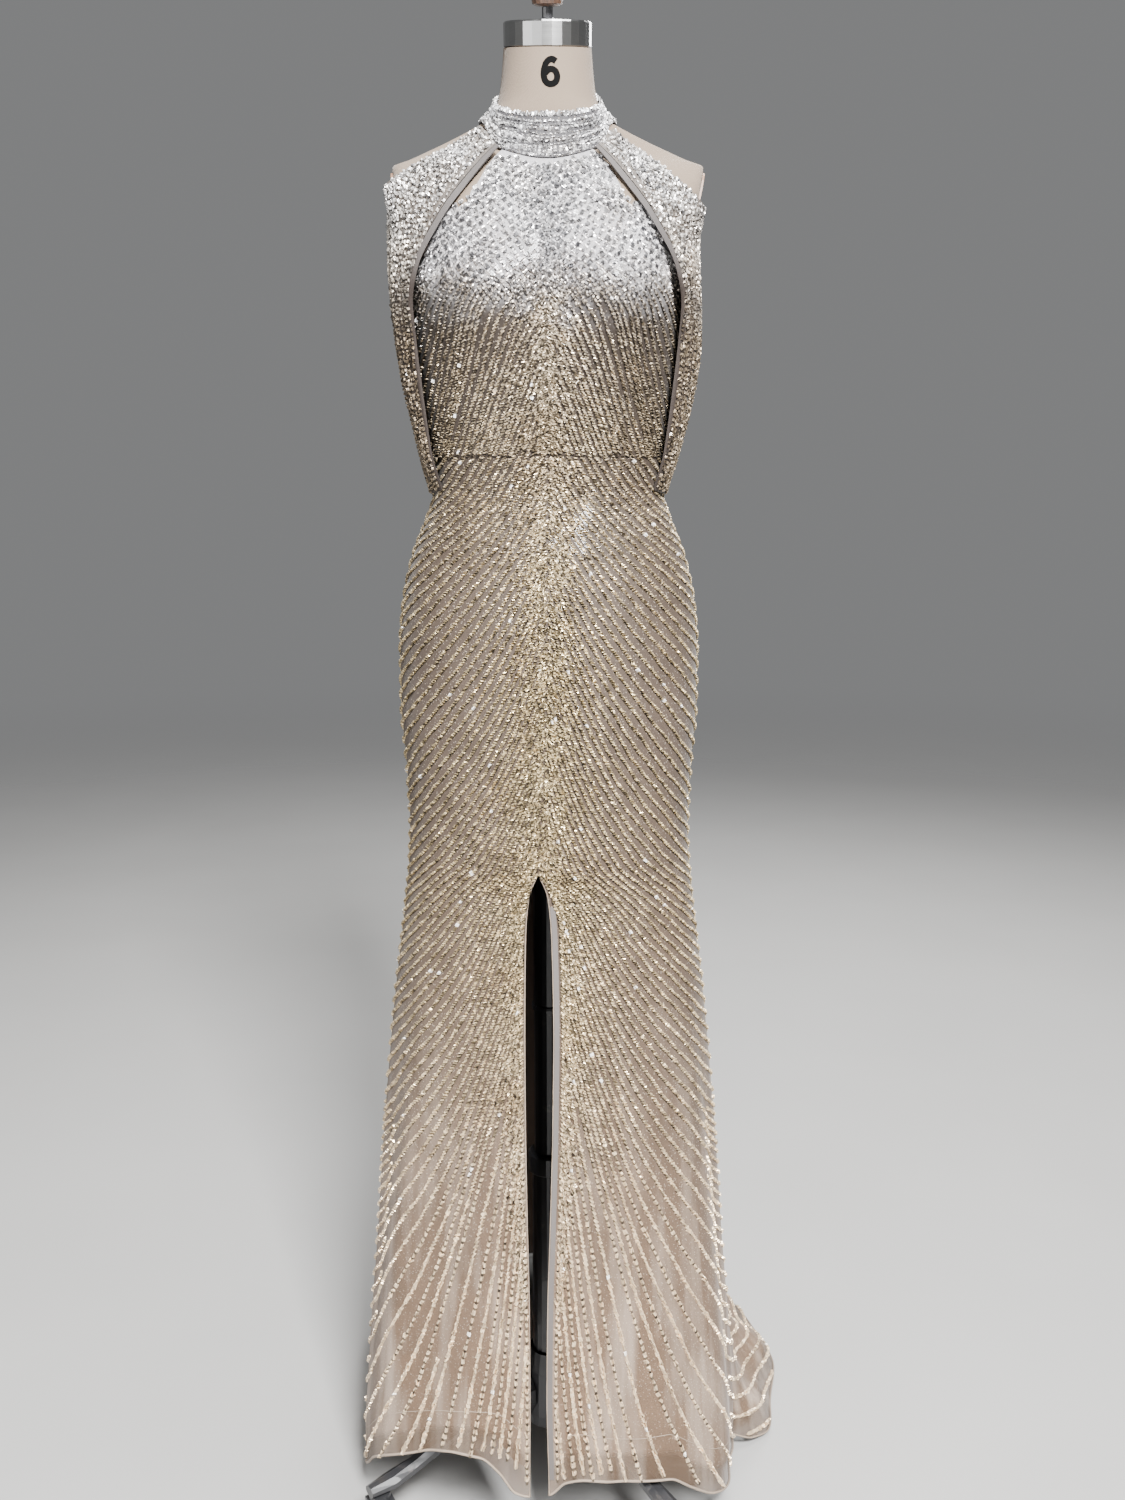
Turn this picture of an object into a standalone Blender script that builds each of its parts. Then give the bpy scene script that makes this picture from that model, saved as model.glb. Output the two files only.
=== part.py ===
"""Beaded evening gown on a limbless dress form with a rolling stand.

Metres, +Z up, the front faces -Y. Angles run round the column from +X, so the
centre front is at -90 degrees, the centre back at 90 and the side seams at 0 and 180.
"""
import math

import bmesh
import bpy
import numpy as np

# Driving dimensions
CLOTH = 0.0015  # wall of the beaded cloth
LINING = 0.0010
SEAM = 0.0004  # between cloth pieces that meet
TOUCH = 0.0003  # between hard pieces that meet
EASE = 0.0010  # between the form and the cloth on it
FORM_BOTTOM = 0.800
NECK_TOP = 1.5915  # on the column's axis: the cut leans forward
NECK_TILT = 0.266
NECK_TILT_FROM = 1.530
SHRINK = 0.0020  # the form's surface is this far inside the figure's where cloth covers it
CHEST_SHRINK, BACK_SHRINK = 0.0050, 0.0090  # and this far under the halter
WAIST = 1.190
SLIT_TOP = 0.770
LINING_TOP = 0.780
LINING_IN = 0.0030  # from the skirt's inside to the lining's
LINING_SHORT = 0.030  # how far the lining ends above the hem
LEG_RADIUS = 0.235
LEG_ANGLES = (-143, -53, 37, 127)
TRAIL_ANGLES = (-60, 200, 75, 140)
WHEEL_RADIUS = 0.025
WHEEL_TRAIL = 0.016

# The figure's level sections: half width, depth before and behind the column, and how square.
# Above FORM_BOTTOM it is the form's surface, below it the skirt's inside.
FIGURE_COLUMNS = ("height", "side", "front", "back", "square")
FIGURE = (
    (0.000, 0.2190, 0.1810, 0.3520, 2.60),
    (0.080, 0.2170, 0.1780, 0.3400, 2.60),
    (0.150, 0.2125, 0.1740, 0.3180, 2.55),
    (0.230, 0.2060, 0.1680, 0.2900, 2.50),
    (0.310, 0.1985, 0.1610, 0.2620, 2.45),
    (0.400, 0.1915, 0.1530, 0.2320, 2.40),
    (0.500, 0.1825, 0.1450, 0.2040, 2.35),
    (0.600, 0.1720, 0.1360, 0.1780, 2.30),
    (0.700, 0.1590, 0.1260, 0.1500, 2.25),
    (0.760, 0.1525, 0.1220, 0.1380, 2.20),
    (0.800, 0.1510, 0.1210, 0.1340, 2.20),
    (0.860, 0.1530, 0.1230, 0.1370, 2.20),
    (0.930, 0.1575, 0.1260, 0.1430, 2.20),
    (0.985, 0.1575, 0.1230, 0.1430, 2.20),
    (1.040, 0.1530, 0.1150, 0.1340, 2.20),
    (1.090, 0.1415, 0.1020, 0.1140, 2.20),
    (1.125, 0.1275, 0.0910, 0.0940, 2.20),
    (1.155, 0.1185, 0.0850, 0.0830, 2.15),
    (1.190, 0.1205, 0.0870, 0.0820, 2.15),
    (1.240, 0.1270, 0.0950, 0.0870, 2.15),
    (1.290, 0.1345, 0.1030, 0.0940, 2.20),
    (1.340, 0.1400, 0.1060, 0.0990, 2.25),
    (1.375, 0.1415, 0.1030, 0.1000, 2.30),
    (1.395, 0.1425, 0.0990, 0.0985, 2.35),
    (1.412, 0.1500, 0.0945, 0.0960, 2.35),
    (1.430, 0.1580, 0.0890, 0.0930, 2.40),
    (1.455, 0.1640, 0.0790, 0.0860, 2.10),
    (1.470, 0.1640, 0.0720, 0.0790, 1.65),
    (1.479, 0.1600, 0.0675, 0.0730, 1.35),
    (1.487, 0.1390, 0.0635, 0.0680, 1.20),
    (1.495, 0.1205, 0.0600, 0.0630, 1.25),
    (1.503, 0.1020, 0.0570, 0.0590, 1.38),
    (1.511, 0.0835, 0.0550, 0.0555, 1.58),
    (1.518, 0.0680, 0.0540, 0.0530, 1.85),
    (1.525, 0.0580, 0.0530, 0.0505, 2.00),
    (1.538, 0.0510, 0.0515, 0.0475, 2.00),
    (1.560, 0.0468, 0.0495, 0.0440, 2.00),
    (NECK_TOP, 0.0440, 0.0470, 0.0410, 2.00),
)

# The armhole plates lie on a plane that leans in downwards
PLATE_TOP = 1.478
PLATE_X = 0.1580
PLATE_LEAN = 0.210
PLATE_LOW = 1.3965
PLATE_THICK = 0.0020
PLATE_CENTRE = (0.002, 1.436)
PLATE_HALF = (0.033, 0.038)

# The bust: angle from the centre front, height, width in angle, reach up, reach down, fullness
BUST_ANGLE, BUST_HEIGHT, BUST_SPREAD = 36.0, 1.345, 20.0
BUST_UP, BUST_DOWN, BUST_FULL = 0.058, 0.046, 0.024

# The skirt's hem round the column: height above the floor, and reach beyond the figure's own section
HEM_COLUMNS = ("angle", "height", "reach")
HEM = (
    (-180, 0.018, 0.000),
    (-172, 0.021, 0.000),
    (-165, 0.033, 0.000),
    (-158, 0.052, 0.000),
    (-150, 0.080, 0.000),
    (-143, 0.098, 0.000),
    (-134, 0.114, 0.000),
    (-124, 0.130, 0.000),
    (-116, 0.136, 0.000),
    (-108, 0.133, 0.000),
    (-101, 0.116, 0.000),
    (-95, 0.094, 0.000),
    (-90, 0.090, 0.000),
    (-84, 0.105, 0.000),
    (-77, 0.111, 0.000),
    (-68, 0.106, 0.000),
    (-58, 0.098, 0.000),
    (-50, 0.094, 0.000),
    (-42, 0.072, 0.000),
    (-34, 0.050, 0.000),
    (-22, 0.036, 0.000),
    (-8, 0.030, 0.000),
    (0, 0.028, 0.000),
    (4, 0.010, 0.030),
    (8, 0.005, 0.052),
    (18, 0.004, 0.068),
    (31, 0.004, 0.096),
    (45, 0.004, 0.106),
    (60, 0.004, 0.100),
    (75, 0.004, 0.095),
    (90, 0.004, 0.098),
    (105, 0.004, 0.090),
    (120, 0.004, 0.085),
    (131, 0.004, 0.074),
    (141, 0.004, 0.045),
    (157, 0.004, 0.012),
    (170, 0.006, 0.004),
    (180, 0.018, 0.000),
)

# How much of that reach is spent at each height
SWEEP_COLUMNS = ("height", "share")
SWEEP = (
    (0.000, 1.00),
    (0.004, 1.00),
    (0.015, 0.93),
    (0.040, 0.72),
    (0.060, 0.46),
    (0.085, 0.26),
    (0.107, 0.17),
    (0.150, 0.09),
    (0.240, 0.03),
    (0.340, 0.00),
    (1.600, 0.00),
)

# The slit's two edges. The centre line above it leans a little to meet its top
SLIT_COLUMNS = ("height", "left", "right")
SLIT = (
    (0.000, -0.0200, 0.0010),
    (0.100, -0.0200, 0.0005),
    (0.200, -0.0195, -0.0015),
    (0.300, -0.0200, -0.0005),
    (0.400, -0.0220, 0.0025),
    (0.500, -0.0235, 0.0050),
    (0.600, -0.0240, 0.0060),
    (0.700, -0.0230, 0.0040),
    (0.745, -0.0195, 0.0000),
    (SLIT_TOP, -0.0100, -0.0100),
)
SLIT_TOP_X = -0.0100
STRAIGHT_ABOVE = 1.000  # the centre line is true from here up

# The bodice's top edge by angle from the centre front or back
ARMHOLE_COLUMNS = ("angle", "height")
ARMHOLE = (
    (41.0, 1.474),
    (42.6, 1.445),
    (50.7, 1.4245),
    (57.5, 1.403),
    (62.0, 1.383),
    (68.0, 1.372),
    (77.0, 1.366),
    (90.0, 1.363),
)
HALTER_ANGLE = 40.0  # inside this angle the bodice runs up to the collar

# The collar, inside the band at its lower and upper edge: side, front and back
COLLAR_LOW_RADII = (0.0665, 0.0715, 0.0540)
COLLAR_TOP_RADII = (0.0510, 0.0575, 0.0500)
COLLAR_TOP_HEIGHT, COLLAR_TOP_LEAN = 1.5415, 0.0268
COLLAR_WALL = 0.0020

# A drape, from its top edge down to the waist: the front edge's place, and the outermost line
DRAPE_COLUMNS = ("step", "edge_out", "edge_front", "edge_height", "left_out", "right_out",
                 "left_height", "right_height")
DRAPE = (
    (0, 0.0460, 0.0600, 1.4830, 0.1600, 0.1520, 1.4540, 1.4340),
    (1, 0.0700, 0.0800, 1.4520, 0.1615, 0.1525, 1.4230, 1.4060),
    (2, 0.1000, 0.0900, 1.4125, 0.1610, 0.1530, 1.3900, 1.3760),
    (3, 0.1250, 0.0880, 1.3690, 0.1585, 0.1535, 1.3550, 1.3460),
    (4, 0.1320, 0.0770, 1.3350, 0.1545, 0.1535, 1.3200, 1.3150),
    (5, 0.1300, 0.0670, 1.3000, 0.1500, 0.1515, 1.2850, 1.2830),
    (6, 0.1255, 0.0600, 1.2550, 0.1430, 0.1455, 1.2450, 1.2450),
    (7, 0.1195, 0.0540, 1.2050, 0.1335, 0.1355, 1.2000, 1.2000),
    (8, 0.1125, 0.0480, 1.1580, 0.1240, 0.1240, 1.1530, 1.1530),
)
DRAPE_PEAK, DRAPE_PEAK_AT = 0.0300, 0.155  # the top edge's rise beside the collar
DRAPE_CLEAR = 0.0055  # from the form to the inside of the drape
DRAPE_SEAT = 0.0022  # above the cloth it is sewn to at the waist
DRAPE_FOLD = 0.0040
BINDING = 0.0070

# The legs' arch and the neck cap's, knob's, hub's and wheels' turned profiles
LEG_COLUMNS = ("out", "height", "half_width", "half_height")
LEG = (
    (0.0295, 0.0980, 0.0120, 0.0240),
    (0.0600, 0.1030, 0.0115, 0.0150),
    (0.1200, 0.0980, 0.0105, 0.0100),
    (0.1750, 0.0830, 0.0100, 0.0085),
    (0.2100, 0.0740, 0.0110, 0.0075),
    (0.2320, 0.0715, 0.0135, 0.0070),
    (0.2480, 0.0710, 0.0085, 0.0060),
)
LEG_UNDER = 0.0650  # the tip's underside, where the caster's head turns
NECK_AXIS_Y = -0.003
CAP_HIGH, STEM_HIGH = 0.0235, 0.0125
KNOB = ((0.0100, 0), (0.0150, 0.002), (0.0162, 0.008), (0.0158, 0.016), (0.0128, 0.022),
        (0.0135, 0.030), (0.0085, 0.035))
HUB_TOP = 0.150
CLAMP_HEIGHT = 0.390
RING_HEIGHT = 0.580
TUBE_LOWER, TUBE_UPPER = 0.0205, 0.0180

MATERIALS = {
    "cool_beads": ((0.78, 0.78, 0.82), 0.35, 0.35),
    "warm_beads": ((0.70, 0.64, 0.53), 0.38, 0.30),
    "tulle": ((0.66, 0.59, 0.53), 0.60, 0.00),
    "binding": ((0.45, 0.42, 0.42), 0.60, 0.00),
    "canvas": ((0.84, 0.78, 0.68), 0.85, 0.00),
    "steel": ((0.60, 0.60, 0.60), 0.25, 1.00),
    "wood": ((0.30, 0.16, 0.09), 0.50, 0.00),
    "plate": ((0.20, 0.12, 0.08), 0.55, 0.00),
    "iron": ((0.02, 0.02, 0.02), 0.45, 0.20),
    "tyre": ((0.45, 0.20, 0.08), 0.55, 0.00),
}


# Curves through the tables

def curve(table, columns, column, key=None):
    """A smooth line through one column, which never overshoots between its rows."""
    xs = np.array([row[columns.index(key or columns[0])] for row in table], float)
    ys = np.array([row[columns.index(column)] for row in table], float)
    step, slope = np.diff(xs), np.diff(ys) / np.diff(xs)
    tangent = np.zeros(len(xs))
    same = slope[:-1] * slope[1:] > 0
    weight = 2 * step[1:] + step[:-1], step[1:] + 2 * step[:-1]
    safe = np.where(same, slope[:-1], 1), np.where(same, slope[1:], 1)
    tangent[1:-1] = np.where(
        same, (weight[0] + weight[1]) / (weight[0] / safe[0] + weight[1] / safe[1]), 0)
    tangent[0], tangent[-1] = slope[0], slope[-1]

    def value(x):
        x = np.clip(np.asarray(x, float), xs[0], xs[-1])
        i = np.clip(np.searchsorted(xs, x, side="right") - 1, 0, len(xs) - 2)
        t = (x - xs[i]) / step[i]
        return (ys[i] * (1 + 2 * t) * (1 - t) ** 2 + ys[i + 1] * t * t * (3 - 2 * t)
                + step[i] * (tangent[i] * t * (1 - t) ** 2 - tangent[i + 1] * t * t * (1 - t)))
    return value


SIDE, FRONT, BACK, SQUARE = (curve(FIGURE, FIGURE_COLUMNS, name) for name in FIGURE_COLUMNS[1:])
HEM_HEIGHT = curve(HEM, HEM_COLUMNS, "height")
HEM_REACH = curve(HEM, HEM_COLUMNS, "reach")
SWEEP_SHARE = curve(SWEEP, SWEEP_COLUMNS, "share")
SLIT_EDGE = {-1: curve(SLIT, SLIT_COLUMNS, "left"), 1: curve(SLIT, SLIT_COLUMNS, "right")}
ARMHOLE_TOP = curve(ARMHOLE, ARMHOLE_COLUMNS, "height")
DRAPE_LINE = {name: curve(DRAPE, DRAPE_COLUMNS, name) for name in DRAPE_COLUMNS[1:]}


# Surfaces: each takes an angle in degrees and a height, and gives points

def figure_radius(angle, height):
    """The form's radius, and the skirt's own below the form."""
    turn = np.radians(angle)
    depth = np.where(np.sin(turn) < 0, FRONT(height), BACK(height))
    n = SQUARE(height)
    radius = ((np.abs(np.cos(turn)) / SIDE(height)) ** n
              + (np.abs(np.sin(turn)) / depth) ** n) ** (-1 / n)
    off = np.where(height > BUST_HEIGHT, BUST_UP, BUST_DOWN)
    for sign in (-1, 1):
        across = (np.asarray(angle) + 90 - sign * BUST_ANGLE) / BUST_SPREAD
        radius = radius + BUST_FULL * np.exp(-across ** 2 - ((height - BUST_HEIGHT) / off) ** 2)
    flat = (PLATE_X - PLATE_LEAN * (PLATE_TOP - height)) / np.maximum(np.abs(np.cos(turn)), 1e-6)
    beside = (height > PLATE_LOW) & (height < PLATE_TOP + 0.001)
    return np.where(beside, np.minimum(radius, flat), radius)


def figure_depth(out, height, behind):
    """How deep the form is, before or behind the column, this far out to the side."""
    n = SQUARE(height)
    room = np.maximum(1 - np.minimum(out / SIDE(height), 1) ** n, 0)
    return np.where(behind, BACK(height), FRONT(height)) * room ** (1 / n)


def waves(angle, height):
    """The skirt's soft folds: slight in front, deeper in the sweep."""
    turn = np.radians(angle)
    fall = np.clip((0.72 - height) / 0.72, 0, 1) ** 1.6
    front = 0.0032 * np.sin(9 * turn + 0.6) + 0.0022 * np.sin(15 * turn + 2.1)
    behind = np.clip(np.sin(turn), 0, 1) ** 0.7
    low = np.clip(height / 0.03, 0.35, 1)
    sweep = (0.012 * np.sin(14 * turn + 0.4) + 0.005 * np.sin(23 * turn + 1.7)) * low
    ends = 1 - np.exp(-((np.abs(np.cos(turn)) - 1) / 0.012) ** 2)
    return fall * (front * (1 - behind) + sweep * behind * ends) * (0.25 + 0.75 * ends)


def at(angle, radius, height):
    turn = np.radians(angle)
    return np.stack([radius * np.cos(turn), radius * np.sin(turn),
                     height + 0 * radius], axis=-1)


def dress(angle, height):
    """The inside of the gown's cloth."""
    angle, height = np.broadcast_arrays(np.asarray(angle, float), np.asarray(height, float))
    radius = figure_radius(angle, height) + EASE
    radius = radius + HEM_REACH(angle) * SWEEP_SHARE(height) + waves(angle, height)
    return at(angle, radius, height)


def lining(angle, height):
    """The inside of the lining, clear inside the skirt's folds."""
    angle, height = np.broadcast_arrays(np.asarray(angle, float), np.asarray(height, float))
    fall = np.clip((0.72 - height) / 0.72, 0, 1) ** 1.6
    behind = np.clip(np.sin(np.radians(angle)), 0, 1) ** 0.7
    radius = figure_radius(angle, height) + EASE - LINING_IN
    radius = radius + 0.8 * HEM_REACH(angle) * SWEEP_SHARE(height)
    radius = radius - fall * (0.005 + 0.013 * behind)
    return at(angle, radius, height)


def ring(angle, radii):
    """An oval's radius, from its half width and its depths in front and behind."""
    turn = np.radians(angle)
    side, front, back = radii
    depth = np.where(np.sin(turn) < 0, front, back)
    return ((np.cos(turn) / side) ** 2 + (np.sin(turn) / depth) ** 2) ** -0.5


def collar_low(angle):
    """The height where the figure is as wide as the collar's lower edge, by halving."""
    angle = np.asarray(angle, float)
    target = ring(angle, COLLAR_LOW_RADII)
    low, high = 1.440 + 0 * angle, 1.560 + 0 * angle
    for _ in range(30):
        middle = (low + high) / 2
        wider = figure_radius(angle, middle) > target
        low, high = np.where(wider, middle, low), np.where(wider, high, middle)
    return (low + high) / 2


def collar(angle, up):
    """The inside of the collar, from its lower edge, up = 0, to its upper one, up = 1."""
    angle, up = np.broadcast_arrays(np.asarray(angle, float), np.asarray(up, float))
    low = collar_low(angle)
    high = COLLAR_TOP_HEIGHT + COLLAR_TOP_LEAN * np.sin(np.radians(angle))
    height = low + (high - low) * up
    ease = 2 * EASE
    bottom, top = ring(angle, COLLAR_LOW_RADII) + ease, ring(angle, COLLAR_TOP_RADII)
    radius = bottom + (top - bottom) * (1 - np.maximum(1 - up, 0) ** 1.4)
    return at(angle, np.maximum(radius, figure_radius(angle, height) + ease), height)


def slit_edge(side, height):
    """Where the front's half ends: at the slit, or at the centre line above it."""
    lean = np.clip((STRAIGHT_ABOVE - height) / (STRAIGHT_ABOVE - SLIT_TOP), 0, 1) ** 1.5
    return np.where(height >= SLIT_TOP - 1e-9, SLIT_TOP_X * lean, SLIT_EDGE[side](height))


def bodice_top(angle):
    """The bodice's upper edge: the collar's lower edge, then the armhole."""
    from_centre = np.abs(np.abs(angle) - 90)
    neck = collar_low(angle) - 2 * SEAM
    arm = ARMHOLE_TOP(from_centre)
    turn_in = np.clip((from_centre - HALTER_ANGLE) / 2.6, 0, 1)
    return np.where(from_centre < HALTER_ANGLE, neck, arm + (neck - arm) * (1 - turn_in) ** 2)


def drape(side, across, down):
    """The inside of a side drape. across runs 0 to 1 from its front edge round the arm to its
    back edge, down 0 to 1 from its top edge to the waist, and side is -1 on the left."""
    across, down = np.broadcast_arrays(np.asarray(across, float), np.asarray(down, float))
    step = down * (len(DRAPE) - 1)
    name = "left" if side < 0 else "right"
    line = {key: value(step) for key, value in DRAPE_LINE.items()}
    turn = np.pi * across
    outer, outer_height = line[name + "_out"], line[name + "_height"]
    out = line["edge_out"] + (outer - line["edge_out"]) * np.sin(turn)
    deep = -line["edge_front"] * np.cos(turn)
    behind = across > 0.5
    share = np.sin(turn)
    height = line["edge_height"] + (outer_height - line["edge_height"]) * share
    peak = np.minimum(share / DRAPE_PEAK_AT, (1 - share) / (1 - DRAPE_PEAK_AT))
    height = height + DRAPE_PEAK * peak * np.maximum(1 - down, 0) ** 6
    clear = DRAPE_CLEAR * (1 + np.clip((height - 1.440) / 0.040, 0, 1))
    surface = figure_depth(out, height, behind) + clear
    hug = np.maximum(1 - down, 0) ** 8 * np.clip(1.5 * np.abs(np.cos(turn)), 0, 1)
    deep = deep + (np.where(behind, surface, -surface) - deep) * hug
    deep = np.where(behind, np.maximum(deep, surface), np.minimum(deep, -surface))
    fold = DRAPE_FOLD * np.sin(2 * np.pi * (4.0 * across + 0.35 * down) + 0.5)
    fold = fold * np.sin(np.pi * np.clip(down * 1.15 - 0.12, 0, 1)) * np.maximum(np.sin(turn), 0) ** 0.6
    angle = np.degrees(np.arctan2(deep, side * out))
    radius = np.hypot(out, deep) + fold
    near = figure_radius(angle, height) + clear
    seat = figure_radius(angle, height) + EASE + CLOTH + DRAPE_SEAT
    hung = np.maximum(radius, near) + 0.0015 * np.exp(-((radius - near) / 0.004) ** 2)
    close = np.clip((down - 0.90) / 0.10, 0, 1) ** 2
    return at(angle, hung + (np.minimum(seat, hung) - hung) * close, height)


def normals(surface, first, second, small=(0.05, 0.0004)):
    """Unit normals of a surface of two numbers, by small steps."""
    a = surface(first + small[0], second) - surface(first - small[0], second)
    b = surface(first, second + small[1]) - surface(first, second - small[1])
    n = np.cross(a, b)
    return n / np.linalg.norm(n, axis=-1, keepdims=True)


# Meshes

def make_object(name, points, faces, material, parent=None):
    mesh = bpy.data.meshes.new(name)
    mesh.from_pydata([tuple(p) for p in points], [], [tuple(f) for f in faces])
    work = bmesh.new()
    work.from_mesh(mesh)
    bmesh.ops.remove_doubles(work, verts=work.verts, dist=1e-7)
    bmesh.ops.recalc_face_normals(work, faces=work.faces)
    work.to_mesh(mesh)
    work.free()
    mesh.shade_smooth()
    mesh.set_sharp_from_angle(angle=math.radians(40))
    mesh.materials.append(finish(material))
    made = bpy.data.objects.new(name, mesh)
    bpy.context.collection.objects.link(made)
    made.parent = parent or origin
    return made


def finish(slot):
    found = bpy.data.materials.get(slot)
    if found:
        return found
    colour, rough, metal = MATERIALS[slot]
    made = bpy.data.materials.new(slot)
    made.use_nodes = True
    shader = made.node_tree.nodes["Principled BSDF"]
    shader.inputs["Base Color"].default_value = (*colour, 1)
    shader.inputs["Roughness"].default_value = rough
    shader.inputs["Metallic"].default_value = metal
    return made


def split(a, b, c, d):
    """A quad as two triangles, always on the same diagonal."""
    return [(a, b, c), (a, c, d)]


def grid_faces(rows, columns, start=0, closed=False, flip=False):
    faces = []
    for i in range(rows - 1):
        for j in range(columns if closed else columns - 1):
            k = (j + 1) % columns
            corners = [start + i * columns + j, start + i * columns + k,
                       start + (i + 1) * columns + k, start + (i + 1) * columns + j]
            faces += [f[::-1] if flip else f for f in split(*corners)]
    return faces


def wall(name, inner, outer, material):
    """A sheet of cloth with its thickness, from two grids of points, [row, column]."""
    rows, columns = inner.shape[:2]
    count = rows * columns
    last = count - columns
    faces = grid_faces(rows, columns, 0, False, True) + grid_faces(rows, columns, count)
    rim = [(j, j + 1) for j in range(columns - 1)]
    rim += [(last + j + 1, last + j) for j in range(columns - 1)]
    rim += [((i + 1) * columns, i * columns) for i in range(rows - 1)]
    rim += [((i + 1) * columns - 1, (i + 2) * columns - 1) for i in range(rows - 1)]
    for a, b in rim:
        faces += split(a, b, b + count, a + count)
    points = np.concatenate([inner.reshape(-1, 3), outer.reshape(-1, 3)])
    return make_object(name, points, faces, material)


def cloth(name, surface, first, second, material, thick=CLOTH, small=(0.05, 0.0004)):
    """A wall over a surface, thickened along its normals. first and second are [row, column]."""
    base, away = surface(first, second), normals(surface, first, second, small)
    if np.sum(away * base * (1, 1, 0)) < 0:
        away = -away
    return wall(name, base, base + away * thick, material)


def seam_angle(angle, height, side):
    """The angle of a panel's edge beside a seam at this angle."""
    radius = np.linalg.norm(dress(angle, height)[..., :2], axis=-1)
    return angle + side * np.degrees(0.5 * SEAM / radius)


# The gown

def make_collar():
    gap = 0.4
    angle = np.linspace(90 + gap, 450 - gap, 41)
    up = np.array([0, 0.25, 0.6, 1.0])
    grid = np.meshgrid(angle, up)
    cloth("collar", collar, (grid[0] + 180) % 360 - 180, grid[1], "cool_beads",
          COLLAR_WALL, (0.05, 0.01))


def make_bodice():
    rows = np.concatenate([np.linspace(0, 0.72, 9), np.linspace(0.72, 1, 5)[1:]])[:, None]
    from_centre = np.array([10, 20, 30, 38, 40.2, 42.6, 47, 53, 60, 70, 80.0])
    behind = np.array([10, 20, 30, 38, 40.0, 40.5, 41.2, 42.6, 47, 53, 60, 70, 80.0])
    panels = {
        "bodice_front": np.concatenate([[-180], -90 - from_centre[::-1], [-90],
                                        -90 + from_centre, [0]]),
        "bodice_back_right": np.concatenate([[0], 90 - behind[::-1], [90]]),
        "bodice_back_left": np.concatenate([[90], 90 + behind, [180]]),
    }
    for name, angles in panels.items():
        low = WAIST + SEAM
        height = low + (bodice_top(angles)[None, :] - low) * rows
        angle = angles[None, :] + 0 * height
        angle[:, 0] = seam_angle(angle[:, 0], height[:, 0], 1)
        angle[:, -1] = seam_angle(angle[:, -1], height[:, -1], -1)
        cloth(name, dress, angle, height, "cool_beads")


# Rows of a skirt panel: shares of the way from its top to the slit's top, and on to the hem
SKIRT_UPPER = np.array([0, 0.06, 0.12, 0.20, 0.31, 0.47, 0.65, 0.83, 1.0])
FRONT_LOWER = np.array([0.03, 0.08, 0.18, 0.33, 0.50, 0.67, 0.83, 0.94, 1.0])
BACK_LOWER = np.array([0.12, 0.26, 0.40, 0.54, 0.67, 0.78, 0.87, 0.93, 0.965, 0.986, 1.0])
BACK_ANGLES = np.array([0, 4, 8, 14, 21, 28, 35, 43, 51, 59, 67, 75, 82, 90.0])


LINING_ROWS = np.array([0.0, 1.0])
LINING_ROWS_LOW = np.array([0.03, 0.10, 0.25, 0.42, 0.58, 0.74, 0.88, 1.0])
LINING_ANGLES = np.array([0, 4, 8, 16, 26, 38, 52, 70, 90.0])


def skirt_heights(angle, top, upper, lower, hem_lift=0.0):
    """Rows of heights, from the top to the slit's top and from there to the hem."""
    hem = HEM_HEIGHT(angle)[None, :] + hem_lift
    above = top + (SLIT_TOP - top) * upper[:, None] + 0 * hem
    return np.concatenate([above, SLIT_TOP + (hem - SLIT_TOP) * lower[:, None]])


def front_half(side, surface, columns, top, upper, lower, hem_lift):
    """Angles and heights of half the front, from its side seam to the centre or the slit."""
    share = np.linspace(0, 1, columns)
    seam = -180 if side < 0 else 0
    height = skirt_heights(seam + (-90 - seam) * share, top, upper, lower, hem_lift)
    middle = height[:, -1]
    radius = np.linalg.norm(surface(-90 + 0 * middle, middle)[:, :2], axis=-1)
    centre = -90 + np.degrees(np.arcsin(slit_edge(side, middle) / radius))
    start = seam_angle(seam + 0 * middle, height[:, 0], -side)
    return start[:, None] + (centre - start)[:, None] * share, height


def make_front(name, material, surface, top, upper, lower, thick=CLOTH, hem_lift=0.0, columns=13):
    """A front as one piece: two halves that part at the slit's top."""
    points, faces, count = [], [], 0
    for side in (-1, 1):
        angle, height = front_half(side, surface, columns, top, upper, lower, hem_lift)
        base, away = surface(angle, height), normals(surface, angle, height)
        away = away * np.sign(np.sum(away * base * (1, 1, 0), axis=-1, keepdims=True))
        rows, size, flip = len(angle), angle.size, side < 0
        faces += grid_faces(rows, columns, count, False, not flip)
        faces += grid_faces(rows, columns, count + size, False, flip)
        last = (rows - 1) * columns
        rim = [(j, j + 1) for j in range(columns - 1)]
        rim += [(last + j, last + j + 1) for j in range(columns - 1)]
        rim += [(i * columns, (i + 1) * columns) for i in range(rows - 1)]
        rim += [(i * columns + columns - 1, (i + 1) * columns + columns - 1)
                for i in range(len(upper) - 1, rows - 1)]
        for a, b in rim:
            faces += split(count + a, count + b, count + b + size, count + a + size)
        points += [base.reshape(-1, 3), (base + away * thick).reshape(-1, 3)]
        count += 2 * size
    make_object(name, np.concatenate(points), faces, material)


def back_panel(angles, top, upper, lower, hem_lift=0.0):
    height = skirt_heights(angles, top, upper, lower, hem_lift)
    angle = angles[None, :] + 0 * height
    angle[:, 0] = seam_angle(angle[:, 0], height[:, 0], 1)
    angle[:, -1] = seam_angle(angle[:, -1], height[:, -1], -1)
    return angle, height


def make_skirt():
    make_front("skirt_front", "warm_beads", dress, WAIST, SKIRT_UPPER, FRONT_LOWER)
    for name, angles in (("skirt_back_right", BACK_ANGLES),
                         ("skirt_back_left", 180 - BACK_ANGLES[::-1])):
        angle, height = back_panel(angles, WAIST, SKIRT_UPPER, BACK_LOWER)
        cloth(name, dress, angle, height, "warm_beads")


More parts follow.
